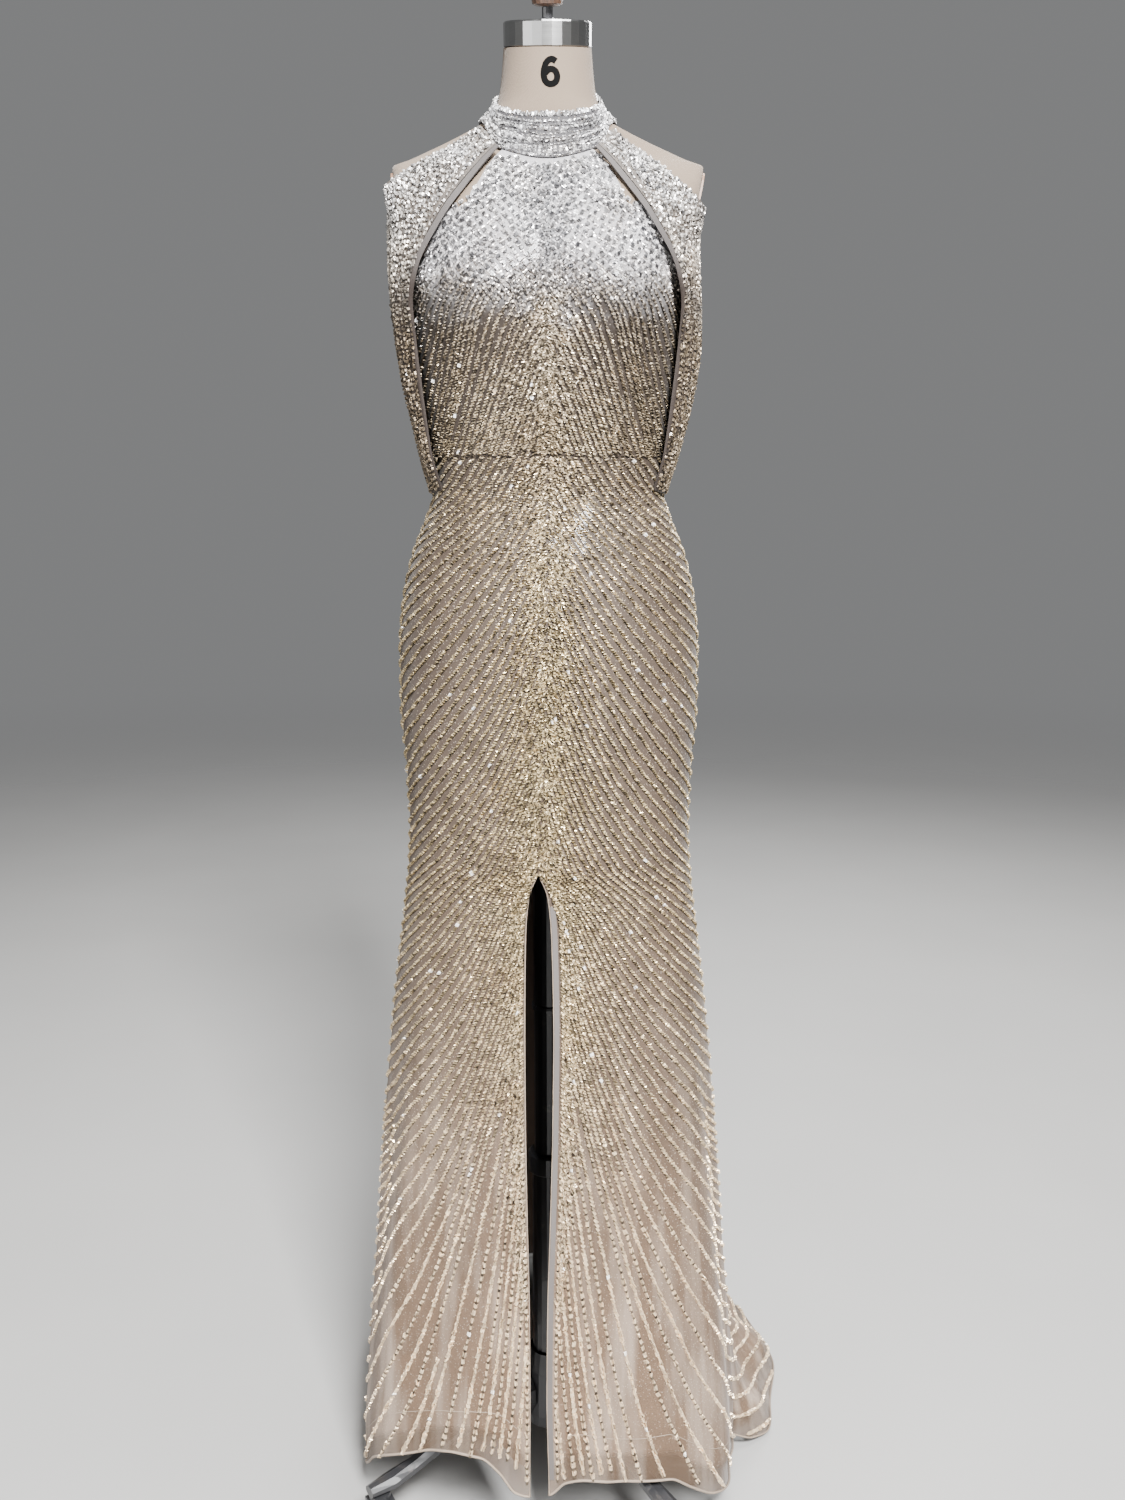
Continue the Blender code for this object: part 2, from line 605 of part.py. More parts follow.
def make_lining():
    """The lining hangs inside the cloth without its folds, and ends a little above the hem."""
    make_front("lining_front", "tulle", lining, LINING_TOP, LINING_ROWS, LINING_ROWS_LOW,
               LINING, LINING_SHORT, 7)
    angles = np.concatenate([LINING_ANGLES, 180 - LINING_ANGLES[-2::-1]])
    angle, height = back_panel(angles, LINING_TOP, LINING_ROWS, LINING_ROWS_LOW, LINING_SHORT)
    cloth("lining_back", lining, angle, height, "tulle", LINING)


DRAPE_STEPS = np.array([0, 0.045, 0.09, 0.15, 0.22, 0.29, 0.36, 0.43, 0.50, 0.57, 0.64, 0.71, 0.78,
                        0.85, 0.91, 0.955, 1.0])


def make_drapes():
    down = np.linspace(0, 1, 12)
    for side, word in ((-1, "left"), (1, "right")):
        def surface(across, step, side=side):
            return drape(side, across, step)
        fine = np.linspace(0, 1, 201)
        line = surface(fine[None, :], down[:, None])
        length = np.concatenate([np.zeros((len(down), 1)), np.cumsum(
            np.linalg.norm(np.diff(line, axis=1), axis=-1), axis=1)], axis=1)

        def along(distance):
            return np.array([np.interp(distance, row, fine) for row in length])

        def before_end(distance):
            return np.array([np.interp(row[-1] - distance, row, fine) for row in length])

        small, gap = (0.002, 0.004), 2 * SEAM
        strips = {
            "drape_" + word: (along(BINDING + gap), before_end(BINDING + gap), DRAPE_STEPS,
                              "cool_beads"),
            "binding_front_" + word: (along(0), along(BINDING), np.array([0, 1]), "binding"),
            "binding_back_" + word: (before_end(BINDING), before_end(0), np.array([0, 1]),
                                     "binding"),
        }
        for name, (start, end, shares, material) in strips.items():
            across = start[:, None] + (end - start)[:, None] * shares
            cloth(name, surface, across, down[:, None] + 0 * across, material, small=small)


# The form and its stand

def turned(name, profile, material, sides=20, parent=None):
    """A solid of revolution about the upright axis, from (radius, height) rows."""
    turn = 2 * np.pi * (np.arange(sides) + 0.5) / sides
    points = [(radius * x, radius * y, height) for radius, height in profile
              for x, y in zip(np.cos(turn), np.sin(turn))]
    faces = grid_faces(len(profile), sides, 0, True)
    faces.append(tuple(range(sides))[::-1])
    faces.append(tuple((len(profile) - 1) * sides + i for i in range(sides)))
    return make_object(name, points, faces, material, parent)


def make_form():
    heights = np.concatenate([
        np.linspace(FORM_BOTTOM, 1.10, 7), np.linspace(1.14, 1.375, 9),
        [1.3955, 1.3975, 1.418, 1.438, 1.458, 1.470, 1.4775, 1.4790, 1.486, 1.493, 1.500,
         1.507, 1.514, 1.521, 1.529, 1.540, 1.560, NECK_TOP]])[:, None]
    angle = np.linspace(-180, 180, 41)[None, :-1]
    from_centre = np.abs(np.abs(angle) - 90)
    covered = np.clip((1.430 - heights) / 0.02, 0, 1)
    halter = np.clip((52 - from_centre) / 5, 0, 1) * np.clip((1.490 - heights) / 0.008, 0, 1)
    under = np.where(angle > 0, BACK_SHRINK, CHEST_SHRINK) * halter
    radius = figure_radius(angle, heights) - np.maximum(SHRINK * covered, under)
    points = at(angle + 0 * radius, radius, heights)
    share = np.clip((heights - NECK_TILT_FROM) / (NECK_TOP - NECK_TILT_FROM), 0, 1)
    points[..., 2] += NECK_TILT * points[..., 1] * share
    count = angle.size
    faces = grid_faces(len(heights), count, 0, True)
    faces.append(tuple(range(count))[::-1])
    faces.append(tuple((len(heights) - 1) * count + i for i in range(count)))
    make_object("form_torso", points.reshape(-1, 3), faces, "canvas")


def make_plates():
    sides = 24
    lean = math.atan(PLATE_LEAN)
    for side, word in ((-1, "left"), (1, "right")):
        points = []
        for out in (TOUCH, TOUCH + PLATE_THICK):
            for i in range(sides):
                turn = 2 * math.pi * i / sides
                y = PLATE_CENTRE[0] + PLATE_HALF[0] * math.cos(turn)
                z = PLATE_CENTRE[1] + PLATE_HALF[1] * math.sin(turn)
                x = PLATE_X - PLATE_LEAN * (PLATE_TOP - z)
                points.append((side * (x + out * math.cos(lean)), y, z - out * math.sin(lean)))
        faces = grid_faces(2, sides, 0, True)
        faces += [tuple(range(sides))[::-1], tuple(range(sides, 2 * sides))]
        make_object("arm_plate_" + word, points, faces, "plate")


def make_neck_cap():
    """The cap, its stem and its knob, square to the neck's leaning cut."""
    foot = bpy.data.objects.new("neck_foot", None)
    bpy.context.collection.objects.link(foot)
    foot.parent = origin
    foot.location = (0, NECK_AXIS_Y, NECK_TOP + NECK_TILT * NECK_AXIS_Y)
    foot.rotation_euler.x = math.atan(NECK_TILT)
    turned("neck_cap", [(0.0425, TOUCH), (0.0440, TOUCH + 0.001), (0.0440, CAP_HIGH - 0.0015),
                        (0.0425, CAP_HIGH)], "steel", 28, foot)
    stem = CAP_HIGH + TOUCH
    turned("cap_stem", [(0.0080, stem), (0.0080, stem + 0.002), (0.0055, stem + 0.003),
                        (0.0055, stem + STEM_HIGH)], "iron", 12, foot)
    knob = stem + STEM_HIGH + TOUCH
    turned("cap_knob", [(radius, knob + up) for radius, up in KNOB], "wood", 20, foot)


def make_column():
    clamp_low, clamp_high = CLAMP_HEIGHT - 0.012, CLAMP_HEIGHT + 0.012
    turned("base_hub", [(0.0200, 0.052), (0.0270, 0.056), (0.0290, 0.070), (0.0290, 0.126),
                        (0.0265, 0.138), (0.0240, HUB_TOP)], "iron")
    turned("column_lower", [(TUBE_LOWER, HUB_TOP + TOUCH), (TUBE_LOWER, clamp_low - TOUCH)],
           "iron")
    turned("height_clamp", [(0.0235, clamp_low), (0.0250, clamp_low + 0.002),
                            (0.0250, clamp_high - 0.002), (0.0225, clamp_high)], "iron")
    turned("column_upper", [(TUBE_UPPER, clamp_high + TOUCH),
                            (TUBE_UPPER, RING_HEIGHT - 0.003 - TOUCH)], "iron")
    turned("stop_ring", [(0.0200, RING_HEIGHT - 0.003), (0.0205, RING_HEIGHT),
                         (0.0200, RING_HEIGHT + 0.003)], "iron")
    turned("column_top", [(TUBE_UPPER, RING_HEIGHT + 0.003 + TOUCH),
                          (TUBE_UPPER, FORM_BOTTOM - 0.008), (0.0360, FORM_BOTTOM - 0.006),
                          (0.0360, FORM_BOTTOM - TOUCH)], "iron")


def make_leg(number, degrees):
    """A bar that arches from the hub to the caster, flat under its tip."""
    lines = {name: curve(LEG, LEG_COLUMNS, name) for name in LEG_COLUMNS[1:]}
    outs = np.linspace(LEG[0][0], LEG[-1][0], 9)
    sides = 8
    points = []
    for out in outs:
        for i in range(sides):
            turn = 2 * math.pi * (i + 0.5) / sides
            z = float(lines["height"](out)) + float(lines["half_height"](out)) * math.sin(turn)
            if out > LEG_RADIUS - 0.015:
                z = max(z, LEG_UNDER)
            points.append((out, float(lines["half_width"](out)) * math.cos(turn), z))
    faces = grid_faces(len(outs), sides, 0, True)
    faces += [tuple(range(sides))[::-1],
              tuple((len(outs) - 1) * sides + i for i in range(sides))]
    leg = make_object(f"leg_{number}", points, faces, "iron")
    leg.rotation_euler.z = math.radians(degrees)
    return leg


def union(target, other):
    """Joins a hidden helper to a piece."""
    other.hide_render = True
    other.display_type = "WIRE"
    modifier = target.modifiers.new("union_" + other.name, "BOOLEAN")
    modifier.operation = "UNION"
    modifier.object = other


def box(name, low, high, material, parent):
    corners = [(x, y, z) for x in (low[0], high[0]) for y in (low[1], high[1])
               for z in (low[2], high[2])]
    faces = [(0, 1, 3, 2), (4, 6, 7, 5), (0, 4, 5, 1), (2, 3, 7, 6), (0, 2, 6, 4), (1, 5, 7, 3)]
    return make_object(name, corners, faces, material, parent)


def make_caster(number, degrees, trail_degrees):
    """A swivelling fork with its axle, and the wheel on it. The wheel trails the swivel's axis."""
    turn = math.radians(degrees)
    swivel = bpy.data.objects.new(f"swivel_{number}", None)
    bpy.context.collection.objects.link(swivel)
    swivel.parent = origin
    swivel.location = (LEG_RADIUS * math.cos(turn), LEG_RADIUS * math.sin(turn), 0)
    swivel.rotation_euler.z = math.radians(trail_degrees)
    head_low, head_high = 0.0560, LEG_UNDER - TOUCH
    cheek_in, cheek_out, axle = 0.0110, 0.0135, 0.0030
    fork = box(f"fork_{number}", (-0.011, -cheek_out, head_low - 0.002),
               (0.024, cheek_out, head_low + 0.0015), "iron", swivel)
    for side, word in ((-1, "a"), (1, "b")):
        low, high = sorted((side * cheek_in, side * cheek_out))
        union(fork, box(f"cheek_{number}{word}", (0.004, low, 0.0190),
                        (0.0235, high, head_low - 0.001), "iron", swivel))
    union(fork, turned(f"head_{number}", [(0.0120, head_low), (0.0120, head_high)],
                       "iron", 12, swivel))
    pin = turned(f"axle_{number}", [(axle, -cheek_out - 0.0015), (axle, cheek_out + 0.0015)],
                 "iron", 8, swivel)
    pin.rotation_euler.x = math.radians(90)
    pin.location = (WHEEL_TRAIL, 0, WHEEL_RADIUS)
    union(fork, pin)
    make_wheel(number, swivel)


def make_wheel(number, swivel):
    """A wheel with flats: a flat lies on the floor, and its bore clears the axle."""
    sides, bore, half = 20, 0.0036, 0.0088
    grow = 1 / math.cos(math.pi / sides)
    rows = ((bore, -half), (0.0220, -half), (WHEEL_RADIUS, -half + 0.0030),
            (WHEEL_RADIUS, half - 0.0030), (0.0220, half), (bore, half))
    points = []
    for radius, wide in rows:
        for i in range(sides):
            turn = 2 * math.pi * (i + 0.5) / sides
            points.append((radius * grow * math.sin(turn), wide, radius * grow * math.cos(turn)))
    faces = grid_faces(len(rows), sides, 0, True)
    last = (len(rows) - 1) * sides
    for i in range(sides):
        k = (i + 1) % sides
        faces += split(last + i, last + k, k, i)
    wheel = make_object(f"wheel_{number}", points, faces, "tyre", swivel)
    wheel.location = (WHEEL_TRAIL, 0, WHEEL_RADIUS)


def centre_on_floor():
    """Moves everything so that its box stands centred on the origin."""
    bpy.context.view_layer.update()
    corners = [made.matrix_world @ vertex.co for made in bpy.data.objects
               if made.type == "MESH" and not made.hide_render for vertex in made.data.vertices]
    low = [min(corner[axis] for corner in corners) for axis in (0, 1)]
    high = [max(corner[axis] for corner in corners) for axis in (0, 1)]
    origin.location = (-(low[0] + high[0]) / 2, -(low[1] + high[1]) / 2, 0)


for old in list(bpy.data.objects):
    bpy.data.objects.remove(old, do_unlink=True)
origin = bpy.data.objects.new("column_foot", None)
bpy.context.collection.objects.link(origin)
make_form()
make_plates()
make_neck_cap()
make_column()
for index, (leg_angle, trail_angle) in enumerate(zip(LEG_ANGLES, TRAIL_ANGLES), start=1):
    make_leg(index, leg_angle)
    make_caster(index, leg_angle, trail_angle)
make_collar()
make_bodice()
make_skirt()
make_lining()
make_drapes()
centre_on_floor()
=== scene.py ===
import math

import bmesh
import bpy
import numpy as np
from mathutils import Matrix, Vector


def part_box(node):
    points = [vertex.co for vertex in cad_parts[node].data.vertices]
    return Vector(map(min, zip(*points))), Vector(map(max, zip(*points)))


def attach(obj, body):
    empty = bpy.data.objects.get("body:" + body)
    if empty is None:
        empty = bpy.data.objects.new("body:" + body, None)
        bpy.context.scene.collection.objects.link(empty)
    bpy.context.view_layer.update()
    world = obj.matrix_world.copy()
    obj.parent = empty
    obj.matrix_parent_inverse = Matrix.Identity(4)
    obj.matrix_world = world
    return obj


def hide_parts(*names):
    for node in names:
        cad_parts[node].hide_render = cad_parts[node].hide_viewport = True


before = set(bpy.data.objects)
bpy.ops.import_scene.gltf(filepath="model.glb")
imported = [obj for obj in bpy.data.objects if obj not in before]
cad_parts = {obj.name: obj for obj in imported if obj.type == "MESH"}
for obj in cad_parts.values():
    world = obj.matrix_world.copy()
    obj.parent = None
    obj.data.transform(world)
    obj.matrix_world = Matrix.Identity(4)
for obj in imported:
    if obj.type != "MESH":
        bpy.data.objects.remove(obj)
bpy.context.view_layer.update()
print("frame: CAD model loaded")

# Everything is made about the stand's column, and moved to where the column stands
poleLow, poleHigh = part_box("column_lower")
poleFoot = np.array([(poleLow[0] + poleHigh[0]) / 2, (poleLow[1] + poleHigh[1]) / 2, 0.0])

# The figure under the gown, in metres: half its width, its depths in front of the column and
# behind it, and how square its outline is, from 1, a diamond, and 2, an oval, upwards
figureColumns = ("height", "side", "front", "back", "square")
figureTable = (
    (0.000, 0.2190, 0.1810, 0.3520, 2.60),
    (0.080, 0.2170, 0.1780, 0.3400, 2.60),
    (0.150, 0.2125, 0.1740, 0.3180, 2.55),
    (0.230, 0.2060, 0.1680, 0.2900, 2.50),
    (0.310, 0.1985, 0.1610, 0.2620, 2.45),
    (0.400, 0.1915, 0.1530, 0.2320, 2.40),
    (0.500, 0.1825, 0.1450, 0.2040, 2.35),
    (0.600, 0.1720, 0.1360, 0.1780, 2.30),
    (0.700, 0.1590, 0.1260, 0.1500, 2.25),
    (0.760, 0.1525, 0.1220, 0.1380, 2.20),
    (0.800, 0.1510, 0.1210, 0.1340, 2.20),
    (0.860, 0.1530, 0.1230, 0.1370, 2.20),
    (0.930, 0.1575, 0.1260, 0.1430, 2.20),
    (0.985, 0.1575, 0.1230, 0.1430, 2.20),
    (1.040, 0.1530, 0.1150, 0.1340, 2.20),
    (1.090, 0.1415, 0.1020, 0.1140, 2.20),
    (1.125, 0.1275, 0.0910, 0.0940, 2.20),
    (1.155, 0.1185, 0.0850, 0.0830, 2.15),
    (1.190, 0.1205, 0.0870, 0.0820, 2.15),
    (1.240, 0.1270, 0.0950, 0.0870, 2.15),
    (1.290, 0.1345, 0.1030, 0.0940, 2.20),
    (1.340, 0.1400, 0.1060, 0.0990, 2.25),
    (1.375, 0.1415, 0.1030, 0.1000, 2.30),
    (1.395, 0.1425, 0.0990, 0.0985, 2.35),
    (1.412, 0.1500, 0.0945, 0.0960, 2.35),
    (1.430, 0.1580, 0.0890, 0.0930, 2.40),
    (1.455, 0.1640, 0.0790, 0.0860, 2.10),
    (1.470, 0.1640, 0.0720, 0.0790, 1.65),
    (1.479, 0.1600, 0.0675, 0.0730, 1.35),
    (1.487, 0.1390, 0.0635, 0.0680, 1.20),
    (1.495, 0.1205, 0.0600, 0.0630, 1.25),
    (1.503, 0.1020, 0.0570, 0.0590, 1.38),
    (1.511, 0.0835, 0.0550, 0.0555, 1.58),
    (1.518, 0.0680, 0.0540, 0.0530, 1.85),
    (1.525, 0.0580, 0.0530, 0.0505, 2.00),
    (1.538, 0.0510, 0.0515, 0.0475, 2.00),
    (1.560, 0.0468, 0.0495, 0.0440, 2.00),
    (1.5915, 0.0440, 0.0470, 0.0410, 2.00),
)

# The dress form. A pair of values is where something starts to show and where it is whole
form = {
    "bottom": 0.800, "top": 1.5915, "tilt": 0.266, "tiltFrom": 1.530,
    "setIn": 0.0020, "covered": (1.430, 1.410),  # it lies this far in where cloth covers it
    "chestSetIn": 0.0050, "backSetIn": 0.0090, "underHalter": (1.490, 1.482),
    "halterHalf": (36, 52), "halterFade": 5,  # degrees from the centre, in front and behind
    "besideHalter": 0.0028, "besideIn": (38.4, 39.6), "besideOut": (52, 46),
    "besideLow": (1.402, 1.414), "besideTop": (1.476, 1.464),
    "bustAngle": 36.0, "bustHeight": 1.345, "bustSpread": 20.0,
    "bustUp": 0.058, "bustDown": 0.046, "bustFull": 0.024,
    "plateTop": 1.478, "plateX": 0.1580, "plateLean": 0.210, "plateLow": 1.3965,
    "sides": 112,
}

# The gown. Each wave has its depth, how many go round, and where they start in radians
gown = {
    "ease": 0.0010, "seam": 0.0004, "thick": 0.0011, "waist": 1.190,
    "slitTop": 0.770, "slitTopX": -0.0100, "straightAbove": 1.000,
    "halterAngle": 40.0, "halterTurn": 2.6, "halterCut": (2.3, 1.0), "halterCutFrom": (20, 40),
    "flareBelow": 0.72, "hemWaves": ((0.0032, 9, 0.6), (0.0022, 15, 2.1)),
    "sweepWaves": ((0.012, 14, 0.4), (0.005, 23, 1.7)),
}

skirtLining = {"top": 0.780, "inside": 0.0030, "short": 0.030, "thick": 0.0008, "reach": 0.8,
               "away": (0.005, 0.013)}

# The hem's height round the gown, from -180 at the left side by -90 in front, and how far the
# sweep reaches out there
hemColumns = ("angle", "height", "reach")
hemTable = (
    (-180, 0.018, 0.000), (-172, 0.021, 0.000), (-165, 0.033, 0.000), (-158, 0.052, 0.000),
    (-150, 0.080, 0.000), (-143, 0.098, 0.000), (-134, 0.114, 0.000), (-124, 0.130, 0.000),
    (-116, 0.136, 0.000), (-108, 0.133, 0.000), (-101, 0.116, 0.000), (-95, 0.094, 0.000),
    (-90, 0.090, 0.000), (-84, 0.105, 0.000), (-77, 0.111, 0.000), (-68, 0.106, 0.000),
    (-58, 0.098, 0.000), (-50, 0.094, 0.000), (-42, 0.072, 0.000), (-34, 0.050, 0.000),
    (-22, 0.036, 0.000), (-8, 0.030, 0.000), (0, 0.028, 0.000), (4, 0.010, 0.030),
    (8, 0.005, 0.052), (18, 0.004, 0.068), (31, 0.004, 0.096), (45, 0.004, 0.106),
    (60, 0.004, 0.100), (75, 0.004, 0.095), (90, 0.004, 0.098), (105, 0.004, 0.090),
    (120, 0.004, 0.085), (131, 0.004, 0.074), (141, 0.004, 0.045), (157, 0.004, 0.012),
    (170, 0.006, 0.004), (180, 0.018, 0.000),
)

# How much of that reach the cloth has at each height
sweepColumns = ("height", "share")
sweepTable = (
    (0.000, 1.00), (0.004, 1.00), (0.015, 0.93), (0.040, 0.72), (0.060, 0.46), (0.085, 0.26),
    (0.107, 0.17), (0.150, 0.09), (0.240, 0.03), (0.340, 0.00), (1.600, 0.00),
)

# The slit's two edges, sideways from the middle
slitColumns = ("height", "left", "right")
slitTable = (
    (0.000, -0.0200, 0.0010), (0.100, -0.0200, 0.0005), (0.200, -0.0195, -0.0015),
    (0.300, -0.0200, -0.0005), (0.400, -0.0220, 0.0025), (0.500, -0.0235, 0.0050),
    (0.600, -0.0240, 0.0060), (0.700, -0.0230, 0.0040), (0.745, -0.0195, 0.0000),
    (0.770, -0.0100, -0.0100),
)

# The halter armhole's edge, by degrees from the centre front or back
armholeColumns = ("angle", "height")
armholeTable = (
    (41.0, 1.474), (42.6, 1.445), (50.7, 1.4245), (57.5, 1.403), (62.0, 1.383), (68.0, 1.372),
    (77.0, 1.366), (90.0, 1.363),
)

# The stand collar: its radii are to the side, in front and behind
collarBand = {
    "lowRadii": (0.0665, 0.0715, 0.0540), "topRadii": (0.0510, 0.0575, 0.0500),
    "lowBetween": (1.440, 1.560), "topHeight": 1.5415, "topLean": 0.0268, "thick": 0.0015,
    "small": (0.05, 0.01),  # steps for its normals: degrees, and the share up it
}

# The side drapes, step by step down: where their edges and their outer sides hang
drapeColumns = ("step", "edgeOut", "edgeFront", "edgeHeight", "leftOut", "rightOut",
                "leftHeight", "rightHeight")
drapeTable = (
    (0, 0.0460, 0.0600, 1.4830, 0.1600, 0.1520, 1.4540, 1.4340),
    (1, 0.0700, 0.0800, 1.4520, 0.1615, 0.1525, 1.4230, 1.4060),
    (2, 0.1000, 0.0900, 1.4125, 0.1610, 0.1530, 1.3900, 1.3760),
    (3, 0.1250, 0.0880, 1.3690, 0.1585, 0.1535, 1.3550, 1.3460),
    (4, 0.1320, 0.0770, 1.3350, 0.1545, 0.1535, 1.3200, 1.3150),
    (5, 0.1300, 0.0670, 1.3000, 0.1500, 0.1515, 1.2850, 1.2830),
    (6, 0.1255, 0.0600, 1.2550, 0.1430, 0.1455, 1.2450, 1.2450),
    (7, 0.1195, 0.0540, 1.2050, 0.1335, 0.1355, 1.2000, 1.2000),
    (8, 0.1125, 0.0480, 1.1580, 0.1240, 0.1240, 1.1530, 1.1530),
)
drapeCut = {"peak": 0.0300, "peakAt": 0.155, "clear": 0.0055, "clearer": (1.440, 1.480),
            "seat": 0.0037, "fold": 0.0040, "folds": 4.0, "thick": 0.0013, "binding": 0.0058,
            "down": 64, "across": 90, "small": (0.002, 0.004)}

# Soft creases put in one by one: an angle and a height, to an angle and a height, its width and
# depth
creaseTable = (
    (-128, 1.165, -118, 1.135, 0.0070, -0.0016), (-60, 1.168, -68, 1.130, 0.0065, -0.0014),
    (-140, 1.150, -150, 1.100, 0.0080, 0.0014), (-42, 1.155, -33, 1.105, 0.0075, 0.0013),
    (-112, 1.130, -100, 1.085, 0.0060, -0.0010), (-74, 1.142, -84, 1.100, 0.0065, -0.0012),
    (-97, 0.800, -128, 0.905, 0.0120, -0.0020), (-86, 0.795, -52, 0.890, 0.0110, -0.0019),
    (-104, 0.760, -131, 0.830, 0.0140, 0.0016), (-80, 0.755, -47, 0.800, 0.0140, 0.0015),
    (-122, 0.700, -127, 0.330, 0.0150, -0.0032), (-60, 0.690, -55, 0.300, 0.0160, -0.0030),
    (-143, 0.640, -147, 0.210, 0.0170, 0.0034), (-38, 0.660, -33, 0.240, 0.0160, 0.0030),
    (-108, 0.520, -110, 0.180, 0.0120, -0.0030), (-74, 0.500, -70, 0.190, 0.0130, -0.0028),
    (-158, 0.560, -164, 0.140, 0.0150, -0.0036), (-20, 0.590, -14, 0.150, 0.0150, -0.0034),
    (62, 1.160, 74, 1.120, 0.0080, -0.0015), (118, 1.163, 104, 1.118, 0.0075, -0.0016),
    (80, 1.135, 97, 1.128, 0.0060, -0.0011), (40, 1.150, 30, 1.095, 0.0080, 0.0014),
    (141, 1.148, 152, 1.100, 0.0080, 0.0013), (70, 0.860, 112, 0.845, 0.0110, -0.0018),
    (58, 0.700, 52, 0.260, 0.0190, -0.0050), (84, 0.660, 80, 0.200, 0.0200, 0.0048),
    (101, 0.690, 104, 0.240, 0.0190, -0.0046), (128, 0.640, 134, 0.200, 0.0180, 0.0050),
    (30, 0.620, 24, 0.180, 0.0170, 0.0044), (151, 0.600, 157, 0.180, 0.0170, -0.0042),
)


def tableCurve(table, columns, column, key=None):
    # a smooth line through one column, which never overshoots between its rows
    xs = np.array([row[columns.index(key or columns[0])] for row in table], float)
    ys = np.array([row[columns.index(column)] for row in table], float)
    step, slope = np.diff(xs), np.diff(ys) / np.diff(xs)
    tangent = np.zeros(len(xs))
    same = slope[:-1] * slope[1:] > 0
    weight = 2 * step[1:] + step[:-1], step[1:] + 2 * step[:-1]
    safe = np.where(same, slope[:-1], 1), np.where(same, slope[1:], 1)
    tangent[1:-1] = np.where(
        same, (weight[0] + weight[1]) / (weight[0] / safe[0] + weight[1] / safe[1]), 0)
    tangent[0], tangent[-1] = slope[0], slope[-1]

    def value(x):
        x = np.clip(np.asarray(x, float), xs[0], xs[-1])
        i = np.clip(np.searchsorted(xs, x, side="right") - 1, 0, len(xs) - 2)
        t = (x - xs[i]) / step[i]
        return (ys[i] * (1 + 2 * t) * (1 - t) ** 2 + ys[i + 1] * t * t * (3 - 2 * t)
                + step[i] * (tangent[i] * t * (1 - t) ** 2 - tangent[i + 1] * t * t * (1 - t)))
    return value


sideOf, frontOf, backOf, squareOf = (tableCurve(figureTable, figureColumns, name)
                                     for name in figureColumns[1:])
hemHeight = tableCurve(hemTable, hemColumns, "height")
hemReach = tableCurve(hemTable, hemColumns, "reach")
sweepShare = tableCurve(sweepTable, sweepColumns, "share")
slitLine = {-1: tableCurve(slitTable, slitColumns, "left"),
            1: tableCurve(slitTable, slitColumns, "right")}
armholeTop = tableCurve(armholeTable, armholeColumns, "height")
drapeLine = {name: tableCurve(drapeTable, drapeColumns, name) for name in drapeColumns[1:]}


def wrap(angle):
    return (np.asarray(angle, float) + 180) % 360 - 180


def both(first, second):
    return np.broadcast_arrays(np.asarray(first, float), np.asarray(second, float))


def ramp(value, start, end):
    # from 0 at start to 1 at end, and level beyond them
    return np.clip((value - start) / (end - start), 0, 1)


# Each surface below takes an angle and a height, and gives points about the column

def figureRadius(angle, height):
    turn = np.radians(angle)
    depth = np.where(np.sin(turn) < 0, frontOf(height), backOf(height))
    n = squareOf(height)
    radius = ((np.abs(np.cos(turn)) / sideOf(height)) ** n
              + (np.abs(np.sin(turn)) / depth) ** n) ** (-1 / n)
    off = np.where(height > form["bustHeight"], form["bustUp"], form["bustDown"])
    for sign in (-1, 1):
        across = (np.asarray(angle) + 90 - sign * form["bustAngle"]) / form["bustSpread"]
        radius = radius + form["bustFull"] * np.exp(
            -across ** 2 - ((height - form["bustHeight"]) / off) ** 2)
    flat = form["plateX"] - form["plateLean"] * (form["plateTop"] - height)
    flat = flat / np.maximum(np.abs(np.cos(turn)), 1e-6)
    beside = (height > form["plateLow"]) & (height < form["plateTop"] + 0.001)
    return np.where(beside, np.minimum(radius, flat), radius)


def figureDepth(out, height, behind):
    n = squareOf(height)
    room = np.maximum(1 - np.minimum(out / sideOf(height), 1) ** n, 0)
    return np.where(behind, backOf(height), frontOf(height)) * room ** (1 / n)


def flare(height):
    return ramp(height, gown["flareBelow"], 0) ** 1.6


def behindShare(angle):
    return np.clip(np.sin(np.radians(angle)), 0, 1) ** 0.7


def waves(angle, height):
    # soft flutes towards the hem, deeper over the sweep and gone at the side seams
    turn = np.radians(angle)
    front, sweep = (sum(depth * np.sin(number * turn + start) for depth, number, start in rows)
                    for rows in (gown["hemWaves"], gown["sweepWaves"]))
    behind = behindShare(angle)
    ends = 1 - np.exp(-((np.abs(np.cos(turn)) - 1) / 0.012) ** 2)
    sweep = sweep * np.clip(height / 0.03, 0.35, 1)
    return (flare(height) * (front * (1 - behind) + sweep * behind * ends)
            * (0.25 + 0.75 * ends))


def creases(angle, height):
    total = 0 * (angle + height)
    for angle0, height0, angle1, height1, width, depth in creaseTable:
        middle = figureRadius((angle0 + angle1) / 2, (height0 + height1) / 2)
        perDegree = math.radians(float(middle))
        dx, dz = wrap(angle - angle0) * perDegree, height - height0
        ex, ez = (angle1 - angle0) * perDegree, height1 - height0
        along = (dx * ex + dz * ez) / (ex * ex + ez * ez)
        held = np.clip(along, 0, 1)
        off = (dx - held * ex) ** 2 + (dz - held * ez) ** 2
        fade = np.sin(np.pi * np.clip(0.12 + 0.76 * held, 0, 1)) ** 0.8
        total = total + depth * fade * np.exp(-off / width ** 2)
    return total


def at(angle, radius, height):
    turn = np.radians(angle)
    return np.stack([radius * np.cos(turn), radius * np.sin(turn), height + 0 * radius], axis=-1)


